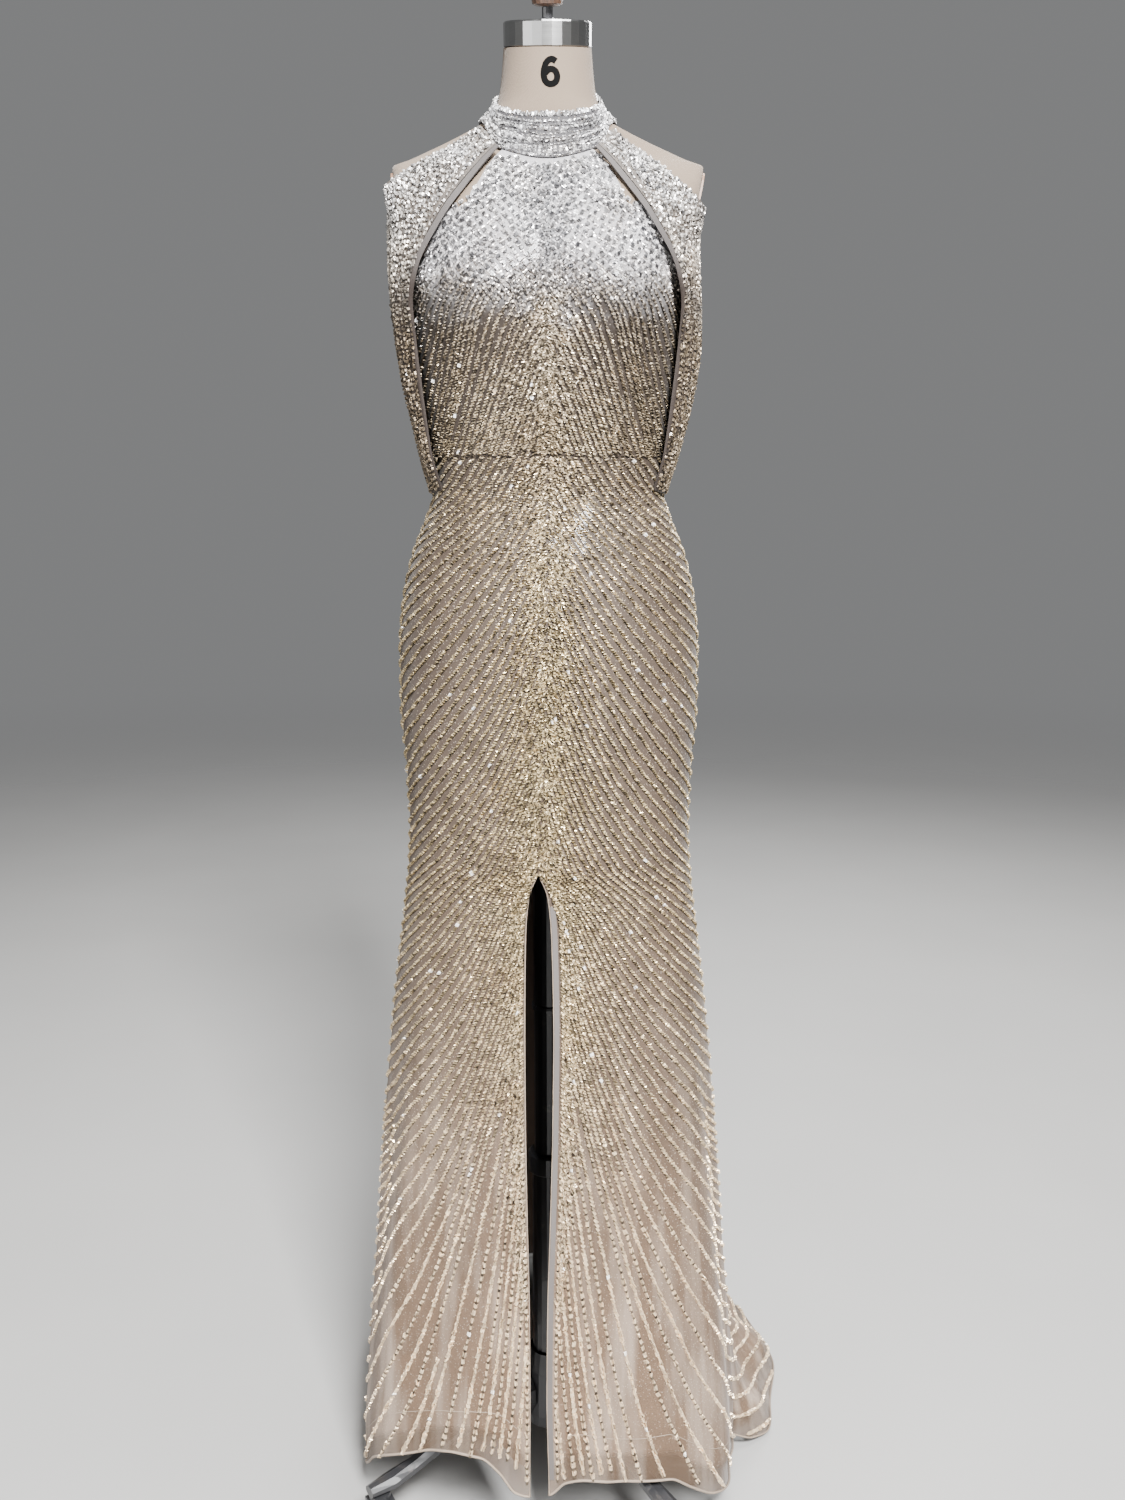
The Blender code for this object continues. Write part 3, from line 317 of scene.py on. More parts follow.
def dress(angle, height):
    angle, height = both(angle, height)
    angle = wrap(angle)
    radius = figureRadius(angle, height) + gown["ease"]
    radius = radius + hemReach(angle) * sweepShare(height) + waves(angle, height)
    return at(angle, radius + creases(angle, height), height)


def lining(angle, height):
    angle, height = both(angle, height)
    angle = wrap(angle)
    near, far = skirtLining["away"]
    radius = figureRadius(angle, height) + gown["ease"] - skirtLining["inside"]
    radius = radius + skirtLining["reach"] * hemReach(angle) * sweepShare(height)
    return at(angle, radius - flare(height) * (near + far * behindShare(angle)), height)


def ovalRadius(angle, radii):
    turn = np.radians(angle)
    depth = np.where(np.sin(turn) < 0, radii[1], radii[2])
    return ((np.cos(turn) / radii[0]) ** 2 + (np.sin(turn) / depth) ** 2) ** -0.5


def collarLow(angle):
    # the height at which the figure is as wide as the collar's low edge, by halving
    angle = np.asarray(angle, float)
    target = ovalRadius(angle, collarBand["lowRadii"])
    low, high = (height + 0 * angle for height in collarBand["lowBetween"])
    for _ in range(30):
        middle = (low + high) / 2
        wider = figureRadius(angle, middle) > target
        low, high = np.where(wider, middle, low), np.where(wider, high, middle)
    return (low + high) / 2


def collar(angle, up):
    angle, up = both(angle, up)
    angle = wrap(angle)
    low = collarLow(angle)
    high = collarBand["topHeight"] + collarBand["topLean"] * np.sin(np.radians(angle))
    height = low + (high - low) * up
    ease = 2 * gown["ease"]
    bottom = ovalRadius(angle, collarBand["lowRadii"]) + ease
    top = ovalRadius(angle, collarBand["topRadii"])
    radius = bottom + (top - bottom) * (1 - np.maximum(1 - up, 0) ** 1.4)
    return at(angle, np.maximum(radius, figureRadius(angle, height) + ease), height)


def slitEdge(side, height):
    lean = ramp(height, gown["straightAbove"], gown["slitTop"]) ** 1.5
    return np.where(height >= gown["slitTop"] - 1e-9, gown["slitTopX"] * lean,
                    slitLine[side](height))


def bodiceTop(angle):
    fromCentre = np.abs(np.abs(wrap(angle)) - 90)
    front = wrap(angle) < 0
    cut = np.where(wrap(angle) < -90, gown["halterCut"][0], gown["halterCut"][1])
    fromCentre = fromCentre + np.where(front, cut, 0) * ramp(fromCentre, *gown["halterCutFrom"])
    neck = collarLow(wrap(angle)) - 2 * gown["seam"]
    arm = armholeTop(fromCentre)
    turnIn = np.clip((fromCentre - gown["halterAngle"]) / gown["halterTurn"], 0, 1)
    return np.where(fromCentre < gown["halterAngle"], neck, arm + (neck - arm) * (1 - turnIn) ** 2)


def drape(side, across, down):
    # across runs from 0 at the front edge to 1 at the back one, and down from the collar
    across, down = both(across, down)
    step = down * (len(drapeTable) - 1)
    name = "left" if side < 0 else "right"
    line = {key: value(step) for key, value in drapeLine.items()}
    turn = np.pi * across
    behind, share = across > 0.5, np.sin(turn)
    out = line["edgeOut"] + (line[name + "Out"] - line["edgeOut"]) * share
    deep = -line["edgeFront"] * np.cos(turn)
    height = line["edgeHeight"] + (line[name + "Height"] - line["edgeHeight"]) * share
    # the top edge rises to a soft peak near the shoulder
    peak = np.minimum(share / drapeCut["peakAt"], (1 - share) / (1 - drapeCut["peakAt"]))
    height = height + drapeCut["peak"] * peak * np.maximum(1 - down, 0) ** 6
    clear = drapeCut["clear"] * (1 + ramp(height, *drapeCut["clearer"]))
    surface = figureDepth(out, height, behind) + clear
    hug = np.maximum(1 - down, 0) ** 8 * np.clip(1.5 * np.abs(np.cos(turn)), 0, 1)
    deep = deep + (np.where(behind, surface, -surface) - deep) * hug
    deep = np.where(behind, np.maximum(deep, surface), np.minimum(deep, -surface))
    fold = np.sin(2 * np.pi * (drapeCut["folds"] * across + 0.35 * down) + 0.5)
    fold = drapeCut["fold"] * fold * np.sin(np.pi * np.clip(down * 1.15 - 0.12, 0, 1))
    fold = fold * np.maximum(share, 0) ** 0.6
    angle = np.degrees(np.arctan2(deep, side * out))
    radius = np.hypot(out, deep) + fold
    near = figureRadius(angle, height) + clear
    hung = np.maximum(radius, near) + 0.0015 * np.exp(-((radius - near) / 0.004) ** 2)
    # the last tenth closes in to the waist seam, where it is sewn down
    seat = figureRadius(angle, height) + gown["ease"] + drapeCut["seat"]
    close = ramp(down, 0.90, 1.00) ** 2
    return at(angle, hung + (np.minimum(seat, hung) - hung) * close, height)


def normalsOf(surface, first, second, small=(0.05, 0.0004)):
    a = surface(first + small[0], second) - surface(first - small[0], second)
    b = surface(first, second + small[1]) - surface(first, second - small[1])
    n = np.cross(a, b)
    return n / np.maximum(np.linalg.norm(n, axis=-1, keepdims=True), 1e-12)


def addObject(name, data):
    made = bpy.data.objects.new(name, data)
    bpy.context.collection.objects.link(made)
    return made


def makeObject(name, points, faces, material, weld=False):
    mesh = bpy.data.meshes.new(name)
    faces = faces if isinstance(faces, list) else faces.tolist()
    mesh.from_pydata((points.reshape(-1, 3) + poleFoot).tolist(), [], faces)
    if weld:
        work = bmesh.new()
        work.from_mesh(mesh)
        bmesh.ops.remove_doubles(work, verts=work.verts, dist=1e-6)
        bmesh.ops.recalc_face_normals(work, faces=work.faces)
        work.to_mesh(mesh)
        work.free()
    mesh.materials.append(material)
    return addObject(name, mesh)


def addPointValues(made, name, values):
    attribute = made.data.attributes.new(name, "FLOAT", "POINT")
    attribute.data.foreach_set("value", values.astype(np.float32))
    return made


def gridQuads(rows, columns, start=0, closed=False, flip=False):
    i = np.arange(rows - 1)[:, None]
    j = np.arange(columns if closed else columns - 1)[None, :]
    k = (j + 1) % columns
    quads = np.stack([start + i * columns + j, start + i * columns + k,
                      start + (i + 1) * columns + k, start + (i + 1) * columns + j], axis=-1)
    quads = quads.reshape(-1, 4)
    return quads[:, ::-1] if flip else quads


def tubeFaces(rows, sides, flip=False):
    # the walls of a closed ring of rows, with a cap at each end
    caps = [list(range(sides))[::-1], [(rows - 1) * sides + i for i in range(sides)]]
    return (gridQuads(rows, sides, 0, True, flip).tolist()
            + [cap[::-1] if flip else cap for cap in caps])


def smooth(made, degrees=45):
    made.data.shade_smooth()
    made.data.set_sharp_from_angle(angle=math.radians(degrees))


def clothShell(name, surface, first, second, material, thick, sign=1, small=(0.05, 0.0004),
               inside=0.0):
    # a wall over a surface; first and second are grids, [row, column]
    base = surface(first, second)
    away = normalsOf(surface, first, second, small) * sign
    rows, columns = base.shape[:2]
    count, last = rows * columns, (rows - 1) * columns
    edge, up = np.arange(columns - 1), np.arange(rows - 1) * columns
    faces = [gridQuads(rows, columns, 0, False, True), gridQuads(rows, columns, count)]
    for a, b in ((edge, edge + 1), (last + edge + 1, last + edge), (up + columns, up),
                 (up + columns - 1, up + 2 * columns - 1)):
        faces.append(np.stack([a, b, b + count, a + count], axis=-1))
    faces = np.concatenate(faces)
    points = np.stack([base + away * inside, base + away * thick])
    made = makeObject(name, points, faces if sign > 0 else faces[:, ::-1], material)
    smooth(made)
    return made


# A bead is a cut tube seen from above, five faces; its points go along, across and up
beadPoints = np.array([(-1, -1, -0.4), (-0.78, -0.30, 1), (-0.78, 0.30, 1), (-1, 1, -0.4),
                       (1, -1, -0.4), (0.78, -0.30, 1), (0.78, 0.30, 1), (1, 1, -0.4)])
beadFaces = np.array([(0, 4, 5, 1), (1, 5, 6, 2), (7, 3, 2, 6), (3, 0, 1, 2), (4, 7, 6, 5)])


def unit(v):
    return v / np.maximum(np.linalg.norm(v, axis=-1, keepdims=True), 1e-9)


def newTray(seed):
    # beads are gathered on a tray, and then made as one joined mesh
    return {"dice": np.random.default_rng(seed), "beads": [], "flats": []}


def layShadeFlats(tray, centre, along, away, length, width, lift, tone):
    # single dark quads of painted shade, in the gaps after beads and under and beside them
    if not len(centre):
        return
    side = np.cross(away, unit(along)) * np.reshape(width / 2 + 0 * lift, (-1, 1))
    ahead = unit(along) * np.reshape(length / 2 + 0 * lift, (-1, 1))
    middle = centre + away * np.reshape(lift + 0 * centre[:, 0], (-1, 1))
    corners = np.stack([middle - ahead - side, middle + ahead - side,
                        middle + ahead + side, middle - ahead + side], 1)
    tray["flats"].append((corners, np.broadcast_to(np.asarray(tone, float), (len(centre),))))


def layBeads(tray, centre, along, away, length, width, high, tone, askew=0.0):
    if len(centre):
        sizes = [np.broadcast_to(np.asarray(value, float), (len(centre),))
                 for value in (length, width, high, tone, askew)]
        tray["beads"].append((centre, along, away, *sizes))


def upright(along, away):
    return unit(away - along * np.sum(along * away, axis=1, keepdims=True))


def sewOn(tray, name, material, slot):
    # each bead is turned a little askew, as sewn
    centre, along, away, length, width, high, tone, askew = (
        np.concatenate([part[i] for part in tray["beads"]]) for i in range(8))
    away = unit(away)
    along = upright(away, along)
    side = np.cross(away, along)
    yaw, roll, pitch = (tray["dice"].normal(0, 1, len(centre))[:, None] * askew[:, None] * scale
                        for scale in (1.0, 1.7, 0.6))
    along = unit(along + side * yaw + away * pitch)
    away = unit(away - along * np.sum(along * away, axis=1, keepdims=True) + side * roll)
    away = upright(along, away)
    side = np.cross(away, along)
    points = (centre[:, None] + along[:, None] * (beadPoints[:, :1] * length[:, None, None] / 2)
              + side[:, None] * (beadPoints[:, 1:2] * width[:, None, None] / 2)
              + away[:, None] * (beadPoints[:, 2:] * high[:, None, None]))
    faces = beadFaces[None] + 8 * np.arange(len(centre))[:, None, None]
    points, faces, tone = points.reshape(-1, 3), faces.reshape(-1, 4), np.repeat(tone, 8)
    for corners, shade in tray["flats"]:
        quads = len(points) + np.arange(4 * len(corners)).reshape(-1, 4)
        faces = np.concatenate([faces, quads])
        points = np.concatenate([points, corners.reshape(-1, 3)])
        tone = np.concatenate([tone, np.repeat(shade, 4)])
    made = makeObject(name, points, faces, material)
    placed(addPointValues(made, "tone", tone), slot)
    print(f"  {name}: {len(centre)} beads")


def alongLine(points, away, pitch, start=0.0, keep=None, jitter=0.0, dice=None):
    # places along a line, a pitch apart; the pitch may change along it
    step = np.linalg.norm(np.diff(points, axis=0), axis=1)
    length = np.concatenate([[0], np.cumsum(step)])
    pitch = np.broadcast_to(np.asarray(pitch, float), length.shape)
    turns = np.concatenate([[0], np.cumsum(step * 2 / (pitch[1:] + pitch[:-1]))])
    if turns[-1] < 1:
        return None
    count = np.arange(0.5 + start, turns[-1] - 0.5, 1.0)
    if len(count) == 0:
        return None
    if dice is not None:
        count = count + dice.uniform(-jitter, jitter, len(count))
    where = np.interp(count, turns, length)
    reach = np.interp(where, length, pitch) * 0.3
    ahead, behind, centre, normal = (
        np.stack([np.interp(spot, length, source[:, i]) for i in range(3)], 1)
        for spot, source in ((where + reach, points), (where - reach, points), (where, points),
                             (where, away)))
    shown = np.ones(len(where), bool)
    if keep is not None:
        shown = np.interp(where, length, keep.astype(float)) > 0.6
    return centre[shown], (ahead - behind)[shown], unit(normal[shown]), where[shown], length


def setInputs(tree, node, inputs):
    for key, value in inputs.items():
        if isinstance(value, bpy.types.NodeSocket):
            tree.links.new(value, node.inputs[key])
        else:
            node.inputs[key].default_value = value


def addNode(tree, kind, inputs=None, **settings):
    made = tree.nodes.new(kind)
    for key, value in settings.items():
        setattr(made, key, value)
    setInputs(tree, made, inputs or {})
    return made


def nodeMaterial(name):
    # a material with its tree, its shader and the place on the piece
    made = bpy.data.materials.new(name)
    made.use_nodes = True
    tree = made.node_tree
    place = addNode(tree, "ShaderNodeTexCoord").outputs["Object"]
    return made, tree, tree.nodes["Principled BSDF"], place


def rampNode(tree, factor, stops):
    made = addNode(tree, "ShaderNodeValToRGB", {0: factor})
    elements = made.color_ramp.elements
    while len(elements) > 1:
        elements.remove(elements[-1])
    elements[0].position, elements[0].color = stops[0][0], (*stops[0][1], 1)
    for place, colour in stops[1:]:
        elements.new(place).color = (*colour, 1)
    return made.outputs[0]


def remap(tree, value, low, high, start=0.0, end=1.0, **settings):
    return addNode(tree, "ShaderNodeMapRange", {
        "Value": value, "From Min": low, "From Max": high, "To Min": start, "To Max": end},
        **settings).outputs[0]


def heightFactor(tree, place, low, high):
    return remap(tree, addNode(tree, "ShaderNodeSeparateXYZ", {0: place}).outputs["Z"], low, high)


def patchyHeight(tree, place, patchy):
    # the share of the gown's height, with blurred patches, so that colours don't change in a line
    patches = noiseOf(tree, place, 45.0, 4.0, 0.75)
    patches = maths(tree, "MULTIPLY_ADD", patches, patchy, -patchy / 2)
    return maths(tree, "ADD", heightFactor(tree, place, 0.0, gownTall), patches)


def mixColour(tree, factor, a, b, blend="MIX"):
    made = addNode(tree, "ShaderNodeMix", data_type="RGBA", blend_type=blend)
    a, b = (c if isinstance(c, bpy.types.NodeSocket) else (*c, 1) for c in (a, b))
    setInputs(tree, made, {0: factor, 6: a, 7: b})
    return made.outputs[2]


def maths(tree, operation, a, b=0.0, c=0.0):
    return addNode(tree, "ShaderNodeMath", {0: a, 1: b, 2: c}, operation=operation).outputs[0]


def vectorMaths(tree, operation, inputs):
    return addNode(tree, "ShaderNodeVectorMath", inputs, operation=operation).outputs[0]


def noiseOf(tree, coordinates, scale, detail=2.0, rough=0.5):
    return addNode(tree, "ShaderNodeTexNoise", {"Vector": coordinates, "Scale": scale,
                                                "Detail": detail, "Roughness": rough}).outputs[0]


def bumpOf(tree, height, strength, distance):
    return addNode(tree, "ShaderNodeBump", {"Height": height, "Strength": strength,
                                            "Distance": distance}).outputs[0]


gownTall = 1.55  # the colours' places below are shares of this height

beadLook = {
    "bright": ((0.00, (1.00, 0.80, 0.56)), (0.25, (1.00, 0.79, 0.53)), (0.48, (0.92, 0.74, 0.43)),
               (0.64, (0.84, 0.67, 0.38)), (0.846, (0.76, 0.63, 0.46)), (0.885, (0.98, 0.96, 0.98)),
               (1.00, (0.97, 0.98, 1.00))),
    # dark is the colour at tone 0: of the darkest beads, and of the flat quads of painted shade
    "dark": ((0.00, (0.016, 0.010, 0.006)), (0.84, (0.016, 0.010, 0.006)),
             (0.88, (0.030, 0.030, 0.034)), (1.00, (0.030, 0.030, 0.034))),
    "rough": 0.32, "metallic": 0.62, "coat": 0.15, "facet": 560.0, "tilt": 0.95,
    "facetTones": ((0.00, (0.26, 0.25, 0.24)), (0.50, (0.78, 0.77, 0.76)),
                   (1.00, (1.10, 1.10, 1.10))),
    # the facets show less and less between these two heights, down to this share
    "plainer": (0.22, 0.48, 0.40),
}
drapeBeadLook = dict(beadLook, bright=(
    (0.00, (0.86, 0.68, 0.46)), (0.84, (0.86, 0.68, 0.46)), (0.89, (0.88, 0.80, 0.70)),
    (0.93, (0.92, 0.90, 0.88)), (1.00, (0.93, 0.93, 0.95))))
crystalLook = dict(
    beadLook, rough=0.08, metallic=0.1, coat=1.0, facet=700.0, tilt=0.6,
    bright=((0.00, (1.0, 0.95, 0.86)), (1.00, (0.98, 0.98, 1.0))),
    dark=((0.00, (0.5, 0.5, 0.5)), (1.00, (0.5, 0.5, 0.5))),
    facetTones=((0.00, (0.8, 0.8, 0.8)), (1.00, (1.1, 1.1, 1.1))))


def beadMaterial(name, look):
    made, tree, shader, place = nodeMaterial(name)
    height = patchyHeight(tree, place, 0.07)
    tone = addNode(tree, "ShaderNodeAttribute", attribute_name="tone").outputs["Fac"]
    shade = mixColour(tree, tone, rampNode(tree, height, look["dark"]),
                      rampNode(tree, height, look["bright"]))
    tint = rampNode(tree, noiseOf(tree, place, 14.0, 3.0), (
        (0.30, (0.84, 0.80, 0.76)), (0.55, (1, 1, 1)), (0.75, (1.0, 0.97, 0.92))))
    shade = mixColour(tree, 1.0, shade, tint, "MULTIPLY")
    # cut glass: each small facet has its own shade and leans its own way
    cells = addNode(tree, "ShaderNodeTexVoronoi", {"Vector": place, "Scale": look["facet"]},
                    feature="F1").outputs["Color"]
    own = addNode(tree, "ShaderNodeSeparateColor", {0: cells}).outputs[2]
    low, high, least = look["plainer"]
    much = remap(tree, height, low, high, least, 1.0)
    faceted = mixColour(tree, 1.0, shade, rampNode(tree, own, look["facetTones"]), "MULTIPLY")
    shade = mixColour(tree, much, shade, faceted)
    lean = vectorMaths(tree, "SUBTRACT", {0: cells, 1: (0.5, 0.5, 0.5)})
    lean = vectorMaths(tree, "SCALE", {0: lean, "Scale": maths(tree, "MULTIPLY", much,
                                                               look["tilt"])})
    face = addNode(tree, "ShaderNodeNewGeometry").outputs["Normal"]
    face = vectorMaths(tree, "NORMALIZE", {0: vectorMaths(tree, "ADD", {0: face, 1: lean})})
    setInputs(tree, shader, {
        "Base Color": shade, "Normal": face, "Metallic": look["metallic"],
        "Roughness": remap(tree, tone, 0.0, 1.0, 0.50, look["rough"]),
        "Coat Weight": look["coat"], "Coat Roughness": 0.06})
    return made


netLook = {
    "colour": ((0.00, (0.150, 0.098, 0.064)), (0.12, (0.138, 0.090, 0.059)),
               (0.35, (0.080, 0.056, 0.040)), (0.60, (0.062, 0.046, 0.036)),
               (0.70, (0.044, 0.032, 0.024)), (0.78, (0.027, 0.020, 0.015)),
               (0.850, (0.025, 0.019, 0.015)), (0.893, (0.250, 0.248, 0.262)),
               (1.00, (0.280, 0.280, 0.296))),
    "cell": 620.0, "grain": 340.0,
    "sheer": ((0.00, 0.36), (0.028, 0.42), (0.036, 0.90), (0.30, 1.00)),
    # fold is the colour of the painted highlights on soft folds, low on the skirt
    "fold": (0.42, 0.34, 0.275), "foldLightShare": 0.70, "foldLightBehind": 0.30, "foldLightTop": 0.42,
}
collarNetLook = dict(netLook, colour=((0.0, (0.045, 0.044, 0.048)), (1.0, (0.045, 0.044, 0.048))))
drapeNetLook = dict(netLook, colour=(
    (0.00, (0.022, 0.016, 0.011)), (0.84, (0.026, 0.019, 0.014)), (0.90, (0.060, 0.050, 0.042)),
    (1.00, (0.095, 0.088, 0.082))))


def netMaterial(name, look, sheer=False):
    # fine net sewn with tiny seeds: darker holes, a slight sparkle, and sheer towards the hem
    made, tree, shader, place = nodeMaterial(name)
    height = patchyHeight(tree, place, 0.06)
    cell = addNode(tree, "ShaderNodeTexVoronoi", {"Vector": place, "Scale": look["cell"]},
                   feature="DISTANCE_TO_EDGE").outputs["Distance"]
    seed = addNode(tree, "ShaderNodeTexVoronoi", {"Vector": place, "Scale": look["grain"]},
                   feature="F1").outputs["Distance"]
    hole = rampNode(tree, remap(tree, cell, 0.02, 0.28, 1.06, 0.66), (
        (0.0, (0, 0, 0)), (1.0, (1, 1, 1))))
    shade = mixColour(tree, 1.0, rampNode(tree, height, look["colour"]), hole, "MULTIPLY")
    patch = rampNode(tree, noiseOf(tree, place, 22.0, 4.0, 0.6), (
        (0.3, (0.80, 0.78, 0.76)), (0.7, (1.08, 1.05, 1.02))))
    shade = mixColour(tree, 1.0, shade, patch, "MULTIPLY")
    # painted highlights of soft folds low on the skirt, as lit from the front, fewer of them behind
    highlightPlace = addNode(tree, "ShaderNodeMapping", {"Vector": place, "Scale": (13, 13, 1.1)})
    fold = rampNode(tree, noiseOf(tree, highlightPlace.outputs[0], 2.6, 3.0, 0.55), (
        (0.46, (0, 0, 0)), (0.68, (1, 1, 1))))
    front = addNode(tree, "ShaderNodeSeparateXYZ", {0: place}).outputs["Y"]
    fold = maths(tree, "MULTIPLY", fold,
                 remap(tree, front, -0.06, 0.06, 1.0, look["foldLightBehind"]))
    low = remap(tree, height, 0.0, look["foldLightTop"], look["foldLightShare"], 0.0)
    shade = mixColour(tree, maths(tree, "MULTIPLY", fold, low), shade, look["fold"])
    speck = rampNode(tree, seed, ((0.10, (1, 1, 1)), (0.28, (0, 0, 0))))
    shade = mixColour(tree, maths(tree, "MULTIPLY", speck, 0.30), shade, (0.62, 0.52, 0.42))
    relief = maths(tree, "ADD", maths(tree, "MULTIPLY", cell, -0.5), speck)
    setInputs(tree, shader, {
        "Base Color": shade, "Roughness": 0.66, "Specular IOR Level": 0.2, "Sheen Weight": 0.08,
        "Sheen Roughness": 0.4, "Normal": bumpOf(tree, relief, 0.55, 0.0006)})
    if sheer:
        # see-through below the lining, which ends above the hem
        rise = addNode(tree, "ShaderNodeAttribute", attribute_name="rise").outputs["Fac"]
        cover = rampNode(tree, rise, [(up, (much,) * 3) for up, much in look["sheer"]])
        setInputs(tree, shader, {"Alpha": cover})
    return made


def plainCloth(name, colour, scale, rough=0.75, strength=0.4, distance=0.0004, dark=0.82,
               sheen=0.06, fade=None, specular=0.25):
    # a plain weave of crossed threads, with slight clouding; fade is where painted shade darkens it
    # downwards
    made, tree, shader, place = nodeMaterial(name)
    threads = [addNode(tree, "ShaderNodeTexWave", {
        "Vector": place, "Scale": scale, "Distortion": 0.6, "Detail": 1.0, "Detail Scale": 2.0},
        bands_direction=way).outputs[1] for way in ("DIAGONAL", "Z")]
    weave = maths(tree, "MAXIMUM", *threads)
    shade = mixColour(tree, weave, tuple(c * dark for c in colour), colour)
    patch = rampNode(tree, noiseOf(tree, place, 9.0, 4.0, 0.6), (
        (0.30, (0.90, 0.88, 0.86)), (0.70, (1.0, 1.0, 1.0))))
    # painted shade, darker from these heights downwards
    if fade:
        up = rampNode(tree, heightFactor(tree, place, *fade), (
            (0.0, (0.34, 0.26, 0.21)), (1.0, (1, 1, 1))))
        patch = mixColour(tree, 1.0, patch, up, "MULTIPLY")
    setInputs(tree, shader, {
        "Base Color": mixColour(tree, 1.0, shade, patch, "MULTIPLY"), "Roughness": rough,
        "Sheen Weight": sheen, "Specular IOR Level": specular,
        "Normal": bumpOf(tree, weave, strength, distance)})
    return made


def paintedMetal(name, colour, rough, metallic=1.0, coat=0.0, worn=None, brush=(1, 1, 1),
                 drawn=0.0):
    # bare, enamelled or stained, with worn spots; brush stretches the grain, and drawn is how
    # far the shine spreads across it
    made, tree, shader, place = nodeMaterial(name)
    streak = addNode(tree, "ShaderNodeMapping", {"Vector": place, "Scale": brush})
    grain = noiseOf(tree, streak.outputs[0], 60.0, 3.0, 0.6)
    shade = rampNode(tree, grain, ((0.25, tuple(c * 0.82 for c in colour)), (0.75, colour)))
    if worn:
        mask = rampNode(tree, noiseOf(tree, place, 38.0, 5.0, 0.7), (
            (0.62, (0, 0, 0)), (0.72, (1, 1, 1))))
        shade = mixColour(tree, mask, shade, worn)
    setInputs(tree, shader, {
        "Base Color": shade, "Roughness": remap(tree, grain, 0.0, 1.0, rough * 0.75, rough * 1.3),
        "Metallic": metallic, "Coat Weight": coat, "Normal": bumpOf(tree, grain, 0.05, 0.0002)})
    if drawn:
        setInputs(tree, shader, {"Anisotropic": drawn, "Anisotropic Rotation": 0.25})
    return made


def turnedWood():
    made, tree, shader, place = nodeMaterial("turnedWood")
    stretch = addNode(tree, "ShaderNodeMapping", {"Vector": place, "Scale": (6, 6, 1)}).outputs[0]
    grain = noiseOf(tree, stretch, 45.0, 5.0, 0.65)
    shade = rampNode(tree, grain, ((0.3, (0.016, 0.008, 0.005)), (0.55, (0.048, 0.024, 0.014)),
                                   (0.75, (0.085, 0.045, 0.026))))
    setInputs(tree, shader, {"Base Color": shade, "Roughness": 0.38, "Coat Weight": 0.4,
                             "Normal": bumpOf(tree, grain, 0.15, 0.0003)})
    return made


beadsFinish = beadMaterial("glassBeads", beadLook)
crystalFinish = beadMaterial("crystals", crystalLook)
drapeBeadsFinish = beadMaterial("drapeGlass", drapeBeadLook)
skirtNet = netMaterial("skirtNet", netLook, sheer=True)
bodiceNet = netMaterial("bodiceNet", netLook)
collarNet = netMaterial("collarNet", collarNetLook)
drapeNet = netMaterial("drapeNet", drapeNetLook)
facingCloth = plainCloth("facingCloth", (0.105, 0.094, 0.089), 900.0, 0.6, 0.25, 0.0002, 0.92)
liningCloth = plainCloth("liningCloth", (0.155, 0.112, 0.084), 900.0, 0.6, 0.25, 0.0002, 0.92)
# the binding is darkened with painted shade below these heights, where it turns in beside the drape
bindingCloth = plainCloth("bindingTape", (0.058, 0.052, 0.050), 700.0, 0.65, 0.4, 0.0003, 0.8,
                          0.03, (1.350, 1.405))
canvasCloth = plainCloth("canvasCloth", (0.150, 0.114, 0.084), 420.0, 0.85, 0.5, 0.0004, 0.86)
hemCloth = plainCloth("hemEdge", (0.26, 0.205, 0.158), 700.0, 0.6, 0.3, 0.0003, 0.88)
inkFinish = plainCloth("numeralInk", (0.003, 0.003, 0.003), 420.0, 0.8, 0.2, 0.0002, 0.8, 0.0,
                       None, 0.02)
steelFinish = paintedMetal("brushedSteel", (0.40, 0.40, 0.395), 0.30, brush=(0.3, 0.3, 40),
                           drawn=0.85)
ironFinish = paintedMetal("blackEnamel", (0.022, 0.022, 0.024), 0.42, 0.2, 0.35,
                          (0.07, 0.06, 0.055))
tyreFinish = paintedMetal("wheelRubber", (0.42, 0.17, 0.06), 0.55, 0.0, 0.0, (0.24, 0.10, 0.05))
plateFinish = paintedMetal("armPlate", (0.16, 0.09, 0.055), 0.5, 0.0, 0.1, (0.26, 0.16, 0.10))
woodFinish = turnedWood()
print("materials: done")


def placed(made, slot, *replaced):
    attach(made, "dressed_form")
    if replaced:
        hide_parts(*replaced)
    return made


def formPoint(angle, height):
    # set in where the gown covers it, and a little proud beside the halter
    angle, height = both(angle, height)
    fromCentre, behind = np.abs(np.abs(angle) - 90), angle > 0
    halter = np.where(behind, form["halterHalf"][1], form["halterHalf"][0]) - fromCentre
    halter = np.clip(halter / form["halterFade"], 0, 1) * ramp(height, *form["underHalter"])
    under = np.where(behind, form["backSetIn"], form["chestSetIn"]) * halter
    proud = (ramp(fromCentre, *form["besideIn"]) * ramp(fromCentre, *form["besideOut"])
             * ramp(height, *form["besideLow"]) * ramp(height, *form["besideTop"]))
    radius = figureRadius(angle, height)
    radius = radius - np.maximum(form["setIn"] * ramp(height, *form["covered"]), under)
    points = at(angle, radius + np.where(behind, 0, form["besideHalter"] * proud), height)
    points[..., 2] += form["tilt"] * points[..., 1] * ramp(height, form["tiltFrom"], form["top"])
    return points


def makeForm():
    heights = np.concatenate([np.linspace(form["bottom"], 1.39, 40), np.linspace(1.392, 1.54, 64),
                              np.linspace(1.545, form["top"], 20)])[:, None]
    angle = np.linspace(-180, 180, form["sides"] + 1)[:-1]
    made = makeObject("formTorso", formPoint(angle, heights), tubeFaces(len(heights), len(angle)),
                      canvasCloth)
    smooth(made, 50)
    placed(made, "canvas", "form_torso")


makeForm()
print("form: done")

